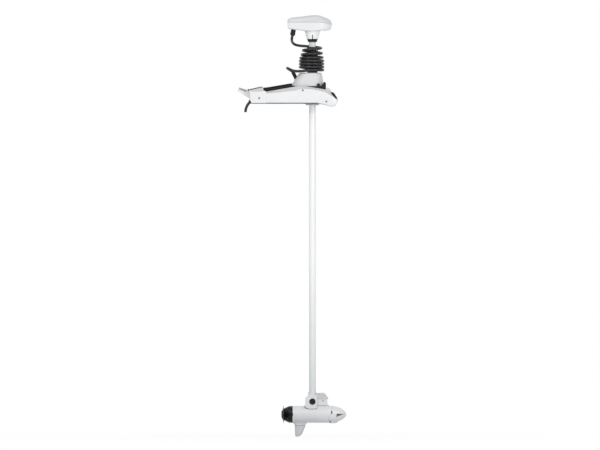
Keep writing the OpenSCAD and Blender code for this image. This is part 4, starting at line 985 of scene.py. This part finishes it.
# The lead and the slack loop leave the CAD route, which meets pedal and deck when the shaft is folded:
# the lead goes round to port, and the loop is narrower
lead_in = [plug_foot, plug_foot + 9 * plug_axis, *(Vector(p) for p in (
    (73.8, 6.5, 334), (74, 22, 326), (76.5, 39, 318), (82.5, 53, 310.5), (96, 60.5, 303.3),
    (118, 61.5, 299.4), (147, 55.5, 296.8))), coil_point(0)]
lead_out = [coil_point(COIL_TURNS), *(Vector(p) for p in (
    (150, -57.5, 169.5), (122, -55, 167), (98, -53.5, 166.8), (80, -49.5, 169.5), (64, -40.5, 176),
    (55, -28.5, 181.3), (50.5, -16.5, 183.2), (53, -5.5, 180.6))),
    GLAND_MOUTH + 20 * gland_axis, GLAND_MOUTH + 11 * gland_axis, GLAND_MOUTH]


def coil_stretch(start, end):
    count = round((end - start) * LOOP_STEPS)
    return [start + (end - start) * i / count for i in range(1, count + 1)]


def cord_of(name, line, shares, bodies):
    """A stretch of the cable; each ring follows the second body by its share and the first by the rest."""
    sides = 20
    cord = tube(name, line, CORD_D / 2, sides, first=Vector((1, 0, 0)))
    cord.data.materials.append(cord_jacket)
    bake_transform(cord, *bodies, start=tuple(line[-1] * MM), end=tuple(line[0] * MM))
    weights = cord.data.attributes["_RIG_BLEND"].data
    for i, share in enumerate(shares):
        for j in range(sides):
            weights[i * sides + j].value = share
    return cord


upper_lead = curve_through(lead_in, 5)
upper_turns = coil_stretch(0, SPLIT_TURN)
upper_cord = cord_of("coil_cable_upper", upper_lead + [coil_point(t) for t in upper_turns],
                     [1.0] * len(upper_lead) + [1 - t / SPLIT_TURN for t in upper_turns],
                     ("steering_sleeve", "shaft"))
lower_turns = [SPLIT_TURN] + coil_stretch(SPLIT_TURN, COIL_TURNS)
lower_lead = curve_through(lead_out, 5)[1:]
lower_shares = [(COIL_TURNS - t) / (COIL_TURNS - SPLIT_TURN) for t in lower_turns] + [0.0] * len(lower_lead)
cord_of("coil_cable_lower", [coil_point(t) for t in lower_turns] + lower_lead, lower_shares,
        ("steering_housing", "steering_sleeve"))
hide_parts("coil_cord")

# Shaft socket and junction housing: cast pieces that saddle the motor and close the lower end of the shaft.
# The socket is bolted through the shaft; black caps cover the bolt's ends, a grey cap covers the wires.

powder_coat = finish_of("powder_coat", ((0.66, 0.675, 0.69), (0.71, 0.725, 0.74)),
                        patch=10, grain=1500, rough=(0.3, 0.42), relief=0.14, coat=0.1)
grey_moulding = finish_of("grey_moulding", ((0.52, 0.53, 0.54), (0.57, 0.58, 0.59)),
                          patch=8, grain=900, rough=(0.36, 0.5), relief=0.12)
eased_copy("shaft_socket", "saddle_socket", 1.5, powder_coat)
eased_copy("saddle_bolt", "cross_bolt", 0.5, stainless)
eased_copy("bolt_caps", "bolt_covers", 0.6, black_moulding)
eased_copy("junction_housing", "wire_housing", 1.2, powder_coat)
eased_copy("junction_cap", "wire_housing_cap", 1.2, grey_moulding)

# Dark strips along the castings' lower edges on the motor are painted shadow of the gap there; a small screw
# on each side holds the grey cap
MOTOR_Z = -1600
grey_seam_and_shadow = finish_of("grey_seam_and_shadow", ((0.16, 0.16, 0.165), (0.21, 0.21, 0.215)),
                        patch=30, grain=1300, rough=(0.5, 0.65), relief=0.2)
SOCKET_SHADOW_Y = 33.5
SOCKET_SHADOW_R = 1.2
HOUSING_X = (203.6, 266.3)
HOUSING_SHADOW_Y = (24.5, 25.5)
HOUSING_SHADOW_Z = (43.9, 46.1)
CAP_SCREW = (3.0, 1.6, 1.4)
socket_edge = [Vector((x, 0, z)) for x, z in (
    (141.6, 46), (140, 41.8), (146.2, 33.8), (157, 29.3), (168, 27.8), (182, 27.7), (195.5, 27.8),
    (202.5, 32.6))]
rim_section = [(HOUSING_SHADOW_Y[i], HOUSING_SHADOW_Z[j]) for i, j in ((0, 0), (1, 0), (1, 1), (0, 1))]
for side, where in SIDES:
    edge_line = [Vector((p.x, side * SOCKET_SHADOW_Y, MOTOR_Z + p.z)) for p in curve_through(socket_edge, 5)]
    edge = tube("socket_shadow_" + where, edge_line, SOCKET_SHADOW_R, 8)
    fitted(edge, "shaft", finish=seal_rubber_and_shade)
    rim = lofted("housing_shadow_" + where, [[Vector((x, side * y, MOTOR_Z + z)) for y, z in rim_section]
                                           for x in HOUSING_X])
    fitted(rim, "shaft", finish=grey_seam_and_shadow)
cap_places = [(234, side * 20.6, MOTOR_Z + 70) for side in (-1, 1)]
cap_screws = screw_heads("wire_cap_screw_heads", cap_places, [(0, -1, 0), (0, 1, 0)], CAP_SCREW, dark_steel)
fitted(cap_screws, "shaft")

# Motor: a drawn aluminium tube with a rear bell and an ogive nose, all powder coated.
# The nose fits into the tube with a spigot and is held by four screws in slots.

for node, name in (("motor_can", "motor_tube"), ("rear_bell", "motor_rear_bell")):
    eased_copy(node, name, 0.6, powder_coat)
nose = eased_copy("nose_cone", "motor_nose", 0.6, powder_coat)
scoop_shade = finish_of("scoop_shade", ((0.23, 0.235, 0.24), (0.28, 0.285, 0.29)),
                       patch=30, grain=1300, rough=(0.45, 0.6), relief=0.15)
nose.data.materials.append(scoop_shade)
# The floor of the scoop on each side is painted dark grey as shade in the recess
SCOOP_X = 300
SCOOP_Y = 22
for poly in nose.data.polygons:
    at_floor = abs(abs(poly.center.y) - SCOOP_Y * MM) < 0.2 * MM and poly.center.x > SCOOP_X * MM
    if at_floor and abs(poly.normal.y) > 0.98:
        poly.material_index = 1
eased_copy("nose_screws", "nose_screw_heads", 0.3, dark_steel)

# Skeg: a moulded fin that shields the propeller, under a root that is finished like the motor.
# A rubber joint lies between fin and root, and a dark strip down the fin's front edge is painted shade there.

# Stations down the skeg: z from the motor's axis, rear edge, front edge and half thickness
skeg_root = [Vector(s) for s in (
    (-37.5, 77, 158.5, 20.5), (-40.5, 78.6, 155.5, 17), (-44, 80.3, 152.6, 13.8), (-48, 83, 149.3, 11.2),
    (-52, 86, 146.3, 9.6), (-55.2, 87.9, 143.6, 8.7))]
skeg_joint = [Vector(s) for s in ((-54.6, 89.4, 142, 7.2), (-57.4, 90, 140.6, 6.8))]
skeg_fin = [Vector(s) for s in (
    (-56.8, 88.7, 142.2, 7.9), (-64, 89.5, 139.5, 7.3), (-80, 90, 133.5, 6.5), (-96, 90, 126.5, 5.5),
    (-106, 90.5, 119, 4.5), (-112, 93, 110, 3.5), (-115, 96, 102, 2.5))]
SKEG_SIDES = 40
# Fullness of the section at its front, what it loses towards the rear, and how square it is
SKEG_FULL = (1.06, 0.25)
SKEG_ROUND = 0.8
EDGE_SHADE_R = 1.5


def skeg_section(station):
    z, back, front, half = station
    ring = []
    for j in range(SKEG_SIDES):
        w = 2 * math.pi * j / SKEG_SIDES
        share = 0.5 - 0.5 * math.cos(w)
        bulge = math.copysign(abs(math.sin(w)) ** SKEG_ROUND, math.sin(w))
        bulge *= SKEG_FULL[0] - SKEG_FULL[1] * share
        ring.append(Vector((back + (front - back) * share, half * bulge, MOTOR_Z + z)))
    return ring


skeg_paint = finish_of("skeg_paint", ((0.54, 0.55, 0.56), (0.59, 0.60, 0.61)),
                       patch=10, grain=1300, rough=(0.34, 0.46), relief=0.14)
for name, line, finish, slot in (("skeg_root", skeg_root, powder_coat, "pale_plastic"),
                                 ("skeg_joint", skeg_joint, seal_rubber_and_shade, "black_rubber"),
                                 ("skeg_fin", skeg_fin, skeg_paint, "pale_plastic")):
    skeg = lofted(name, [skeg_section(s) for s in curve_through(line, 5)])
    shade(skeg.data, 60)
    fitted(skeg, "shaft", finish=finish)
# The fin, which is made last, stands for the whole CAD skeg
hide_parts("skeg")
# A dark strip down the fin's rounded front edge is painted shade
edge_shade_line = [Vector((s[2] - 0.5, 0, MOTOR_Z + s[0])) for s in curve_through(skeg_fin[:-1], 5)]
fitted(tube("skeg_edge_shade", edge_shade_line, EDGE_SHADE_R, 10), "shaft", finish=seal_rubber_and_shade)

# Nose seal, sounder window and slot shade: small pieces round the nose; the seal keeps the water out.
# The seal is rubber, pressed in, and black blocks in the screw slots are painted shade; the window is a
# moulded cover over the depth sounder.

# The seam between the nose and the motor's tube, x and z, from the top down
nose_seam = [Vector((x, 0, z)) for x, z in (
    (283.2, 44), (283, 40), (280.2, 24), (275.2, 6), (264.2, -12), (262.2, -26), (265, -40), (265.2, -44))]


def seam_x(z):
    for a, b in zip(nose_seam, nose_seam[1:]):
        if z >= b.z:
            return a.x + (b.x - a.x) * (a.z - z) / (a.z - b.z)
    return nose_seam[-1].x


SEAM_R = 43.2
SEAM_SEAL_R = 0.55
SEAM_STEPS = 160
SEAM_AHEAD = 0.2
seam_loop = []
for j in range(SEAM_STEPS + 1):
    w = 2 * math.pi * j / SEAM_STEPS
    up = SEAM_R * math.cos(w)
    seam_loop.append(Vector((seam_x(up) + SEAM_AHEAD, SEAM_R * math.sin(w), MOTOR_Z + up)))
seam = tube("nose_seal", seam_loop, SEAM_SEAL_R, 8, first=Vector((1, 0, 0)))
fitted(seam, "shaft", finish=grey_seam_and_shadow)

# The sounder's flat window lies under the nose and ends in a short step
WINDOW_HALF = 13
WINDOW_ROOT = 24
WINDOW_EASE = 1.6
window_line = ((266, 40), (269, 44.6), (272, 45.4), (301, 45.4), (304, 44.2), (311, 38), (318, 31.5))
window_rings = [[Vector((x, y, MOTOR_Z - z)) for y, z in (
    (-WINDOW_HALF, WINDOW_ROOT), (-WINDOW_HALF, low - WINDOW_EASE), (WINDOW_EASE - WINDOW_HALF, low),
    (WINDOW_HALF - WINDOW_EASE, low), (WINDOW_HALF, low - WINDOW_EASE), (WINDOW_HALF, WINDOW_ROOT))]
    for x, low in window_line]
window = lofted("sounder_window", window_rings)
shade(window.data, 30)
fitted(window, "shaft", finish=powder_coat)


def slot_shade_tree():
    tree, given, out = tree_with_inputs("slot_shade_blocks", (
        ("Block Size", "NodeSocketVector"), ("Rubber", "NodeSocketMaterial")))
    block = tree.nodes.new("GeometryNodeMeshCube")
    tree.links.new(given.outputs["Block Size"], block.inputs["Size"])
    return set_on_places(tree, given, out, block.outputs["Mesh"], "Rubber")


# Black blocks in the slots over the nose's screws are painted shade: x, and degrees round the motor from port
NOSE_SLOTS = ((278.6, 165), (278.6, 15), (271, 240), (271, 300))
SLOT_R = 42.7
SLOT_SHADE_SIZE = (6.4, 15, 1.4)
slot_facing = [Vector((0, math.cos(math.radians(a)), math.sin(math.radians(a)))) for x, a in NOSE_SLOTS]
slot_places = [Vector((x, 0, MOTOR_Z)) + SLOT_R * way for (x, a), way in zip(NOSE_SLOTS, slot_facing)]
slot_shade = baked("nose_slot_shade", slot_places, slot_facing, slot_shade_tree(), {
    "Block Size": tuple(size * MM for size in SLOT_SHADE_SIZE), "Rubber": soft_rubber_and_shade})
fitted(slot_shade, "shaft")

# Inside of the motor: enamelled windings on iron teeth, round a laminated rotor on a steel shaft.
# They are pressed into the tube before the nose goes on, and a rubber seal closes it round the shaft.

windings = finish_of("windings", ((0.34, 0.15, 0.06), (0.46, 0.21, 0.09)),
                     patch=80, grain=700, rough=(0.3, 0.45), relief=0.5, metal=1.0, stretch=(8, 1, 1))
lamination = finish_of("lamination", ((0.2, 0.205, 0.21), (0.28, 0.285, 0.29)),
                       patch=60, grain=900, rough=(0.35, 0.5), relief=0.3, metal=1.0, stretch=(6, 1, 1))
coat_node("stator", windings)
coat_node("rotor", lamination)
coat_node("shaft_seal", soft_rubber_and_shade)
for node in ("motor_bearings", "motor_shaft", "drive_pin"):
    coat_node(node, gear_steel)

# Propeller: a black glass-filled hub with two thin weedless blades, moulded in one.
# It is driven by a cross pin through the motor's shaft and held by a moulded nut.

PROP_R = 143
# How far the blades would screw forward in one turn, which is less than in the CAD, as the photograph shows
PROP_PITCH = 18
BLADE_ROOT = 22
BLADE_RINGS = 48
BLADE_SIDES = 28
BLADE_ROUND = 0.7
# Half thickness at the root, and what it loses towards the tip
BLADE_THICK = (2.2, 1.5)
# The middle of the chord: its x at the root, how far it goes aft, and the share of the blade where it does
BLADE_X = 42
BLADE_RAKE = 11.5
RAKE_SHARE = 0.3
hub_profile = [Vector((x, 0, r)) for x, r in (
    (25, 20), (25.1, 24.6), (26.4, 27.2), (31, 29.6), (39, 33.4), (48, 37.4), (57, 41.6), (64, 43),
    (70, 43.3), (78.5, 43.3))]
# Chord at each share of the blade's length
CHORD = ((0, 36), (0.2, 54), (0.4, 74), (0.62, 90), (0.8, 84), (0.93, 58), (0.98, 38), (1, 26))


def turned(name, profile, sides, finish, node):
    """A piece of the propeller, turned about the motor's axis from (x, 0, radius) points."""
    rings = [[Vector((p.x, p.z * math.cos(w), MOTOR_Z + p.z * math.sin(w)))
              for w in (2 * math.pi * j / sides for j in range(sides))] for p in profile]
    obj = lofted(name, rings)
    shade(obj.data, 35)
    fitted(obj, "propeller", node, finish)


def blade_section(s, side):
    r = BLADE_ROOT + (PROP_R - BLADE_ROOT) * s
    chord = height_on(CHORD, s)
    thick = BLADE_THICK[0] - BLADE_THICK[1] * s
    w = math.atan(PROP_PITCH / (2 * math.pi * r))
    middle = BLADE_X - BLADE_RAKE * math.sqrt(min(1, s / RAKE_SHARE))
    ring = []
    for j in range(BLADE_SIDES):
        a = 2 * math.pi * j / BLADE_SIDES
        u = -0.5 * chord * math.cos(a)
        v = thick * math.copysign(abs(math.sin(a)) ** BLADE_ROUND, math.sin(a))
        ring.append(Vector((middle + u * math.sin(w) + v * math.cos(w), side * r,
                            MOTOR_Z + side * (u * math.cos(w) - v * math.sin(w)))))
    return ring


prop_black = finish_of("prop_black", ((0.006, 0.006, 0.0065), (0.010, 0.010, 0.011)),
                       patch=14, grain=900, rough=(0.3, 0.44), relief=0.15,
                       speck=((0.018, 0.018, 0.02), 0.3), shine=0.16)
turned("propeller_hub", curve_through(hub_profile, 4), 96, prop_black, "propeller")
for side, name in ((1, "propeller_blade_port"), (-1, "propeller_blade_starboard")):
    blade = lofted(name, [blade_section(i / BLADE_RINGS, side) for i in range(BLADE_RINGS + 1)])
    shade(blade.data, 60)
    fitted(blade, "propeller", finish=prop_black)
nut_profile = [Vector((x, 0, r)) for x, r in (
    (20, 13), (20.3, 14.6), (21, 16), (22, 19.4), (22.6, 20.6), (24.9, 21.5))]
turned("propeller_nut", nut_profile, 12, prop_black, "prop_nut")

# Studio: a pale floor just under the skeg, white surroundings, large soft lamps and a long lens.
# The camera stands level, straight at the starboard side.

FLOOR_Z = -1718
FLOOR_R = 3000
FLOOR_SIDES = 96
# The floor takes shadow round the skeg and fades to plain white over the inverse of this, in metres
SHADOW_SCALE = 0.5
floor_mesh = bpy.data.meshes.new("studio_floor")
floor_rim = [Vector((FLOOR_R * math.cos(a), FLOOR_R * math.sin(a), FLOOR_Z)) * MM
             for a in (2 * math.pi * j / FLOOR_SIDES for j in range(FLOOR_SIDES))]
floor_mesh.from_pydata(floor_rim, [], [tuple(range(FLOOR_SIDES))])
floor = link("studio_floor", floor_mesh)


def seen_directly(tree):
    """One where a camera, glossy or transmitted ray looks, and zero where diffuse light is gathered."""
    path = tree.nodes.new("ShaderNodeLightPath")
    most = path.outputs["Is Camera Ray"]
    for label in ("Is Glossy Ray", "Is Transmission Ray"):
        higher = tree.nodes.new("ShaderNodeMath")
        higher.operation = "MAXIMUM"
        tree.links.new(most, higher.inputs[0])
        tree.links.new(path.outputs[label], higher.inputs[1])
        most = higher.outputs[0]
    return most


floor_paint = bpy.data.materials.new("floor_paint")
floor_paint.use_nodes = True
tree = floor_paint.node_tree
tree.nodes.clear()
pale = tree.nodes.new("ShaderNodeBsdfDiffuse")
pale.inputs["Color"].default_value = (0.84, 0.84, 0.85, 1)
glow = tree.nodes.new("ShaderNodeEmission")
glow.inputs["Color"].default_value = (1, 1, 1, 1)
reach = tree.nodes.new("ShaderNodeTexGradient")
reach.gradient_type = "SPHERICAL"
spread = tree.nodes.new("ShaderNodeMapping")
spread.inputs["Location"].default_value = (0, 0, -SHADOW_SCALE * FLOOR_Z * MM)
spread.inputs["Scale"].default_value = (SHADOW_SCALE, SHADOW_SCALE, SHADOW_SCALE)
place = tree.nodes.new("ShaderNodeTexCoord")
shadow_share = tree.nodes.new("ShaderNodeMapRange")
shadow_share.inputs["To Min"].default_value = 1.0
shadow_share.inputs["To Max"].default_value = 0.93
fade = tree.nodes.new("ShaderNodeMath")
fade.operation = "MULTIPLY"
mixed = tree.nodes.new("ShaderNodeMixShader")
paint_out = tree.nodes.new("ShaderNodeOutputMaterial")
tree.links.new(place.outputs["Object"], spread.inputs["Vector"])
tree.links.new(spread.outputs["Vector"], reach.inputs["Vector"])
tree.links.new(reach.outputs["Fac"], shadow_share.inputs["Value"])
tree.links.new(seen_directly(tree), fade.inputs[0])
tree.links.new(shadow_share.outputs["Result"], fade.inputs[1])
tree.links.new(fade.outputs[0], mixed.inputs[0])
tree.links.new(pale.outputs["BSDF"], mixed.inputs[1])
tree.links.new(glow.outputs["Emission"], mixed.inputs[2])
tree.links.new(mixed.outputs["Shader"], paint_out.inputs["Surface"])
floor_mesh.materials.append(floor_paint)

world = bpy.data.worlds.new("white_surroundings")
bpy.context.scene.world = world
world.use_nodes = True
tree = world.node_tree
tree.nodes.clear()
ambient = tree.nodes.new("ShaderNodeBackground")
ambient.inputs["Color"].default_value = (1, 1, 1, 1)
ambient.inputs["Strength"].default_value = 0.45
white = tree.nodes.new("ShaderNodeBackground")
white.inputs["Color"].default_value = (1, 1, 1, 1)
white.inputs["Strength"].default_value = 1.0
choice = tree.nodes.new("ShaderNodeMixShader")
world_out = tree.nodes.new("ShaderNodeOutputWorld")
tree.links.new(seen_directly(tree), choice.inputs[0])
tree.links.new(ambient.outputs["Background"], choice.inputs[1])
tree.links.new(white.outputs["Background"], choice.inputs[2])
tree.links.new(choice.outputs["Shader"], world_out.inputs["Surface"])

AIM = Vector((0.116, 0, -0.55))
# Name, place and side of each lamp in metres, and its power in watts
lamps = (("front_softbox", (-0.4, -2.0, -0.3), 1.4, 4.5), ("key_softbox", (-2.2, -4.6, 3.4), 3.2, 112),
         ("fill_softbox", (3.0, -4.6, 1.0), 3.0, 112), ("top_softbox", (0.3, 0.6, 4.2), 2.4, 8))
for name, at, size, power in lamps:
    lamp = bpy.data.lights.new(name, "AREA")
    lamp.shape = "SQUARE"
    lamp.size = size
    lamp.energy = power
    holder = bpy.data.objects.new(name, lamp)
    holder.location = at
    holder.rotation_euler = (AIM - Vector(at)).to_track_quat("-Z", "Y").to_euler()
    bpy.context.scene.collection.objects.link(holder)

# The photograph: 600 pixels wide at 5.15 mm to the pixel, with the origin at pixel (277.5, 103.7)
PHOTO_SIZE = (600, 450)
MM_PER_PIXEL = 5.15
ORIGIN_PIXEL = (277.5, 103.7)
CAMERA_DISTANCE = 60.0
SENSOR = 36.0
lens = bpy.data.cameras.new("long_lens")
lens.sensor_width = SENSOR
lens.lens = SENSOR * CAMERA_DISTANCE / (PHOTO_SIZE[0] * MM_PER_PIXEL * MM)
lens.clip_end = 200
camera = bpy.data.objects.new("long_lens", lens)
camera.location = ((PHOTO_SIZE[0] / 2 - ORIGIN_PIXEL[0]) * MM_PER_PIXEL * MM, -CAMERA_DISTANCE,
                   (ORIGIN_PIXEL[1] - PHOTO_SIZE[1] / 2) * MM_PER_PIXEL * MM)
camera.rotation_euler = (math.radians(90), 0, 0)
bpy.context.scene.collection.objects.link(camera)
bpy.context.scene.camera = camera
bpy.context.scene.view_settings.view_transform = "Standard"

bpy.context.view_layer.update()
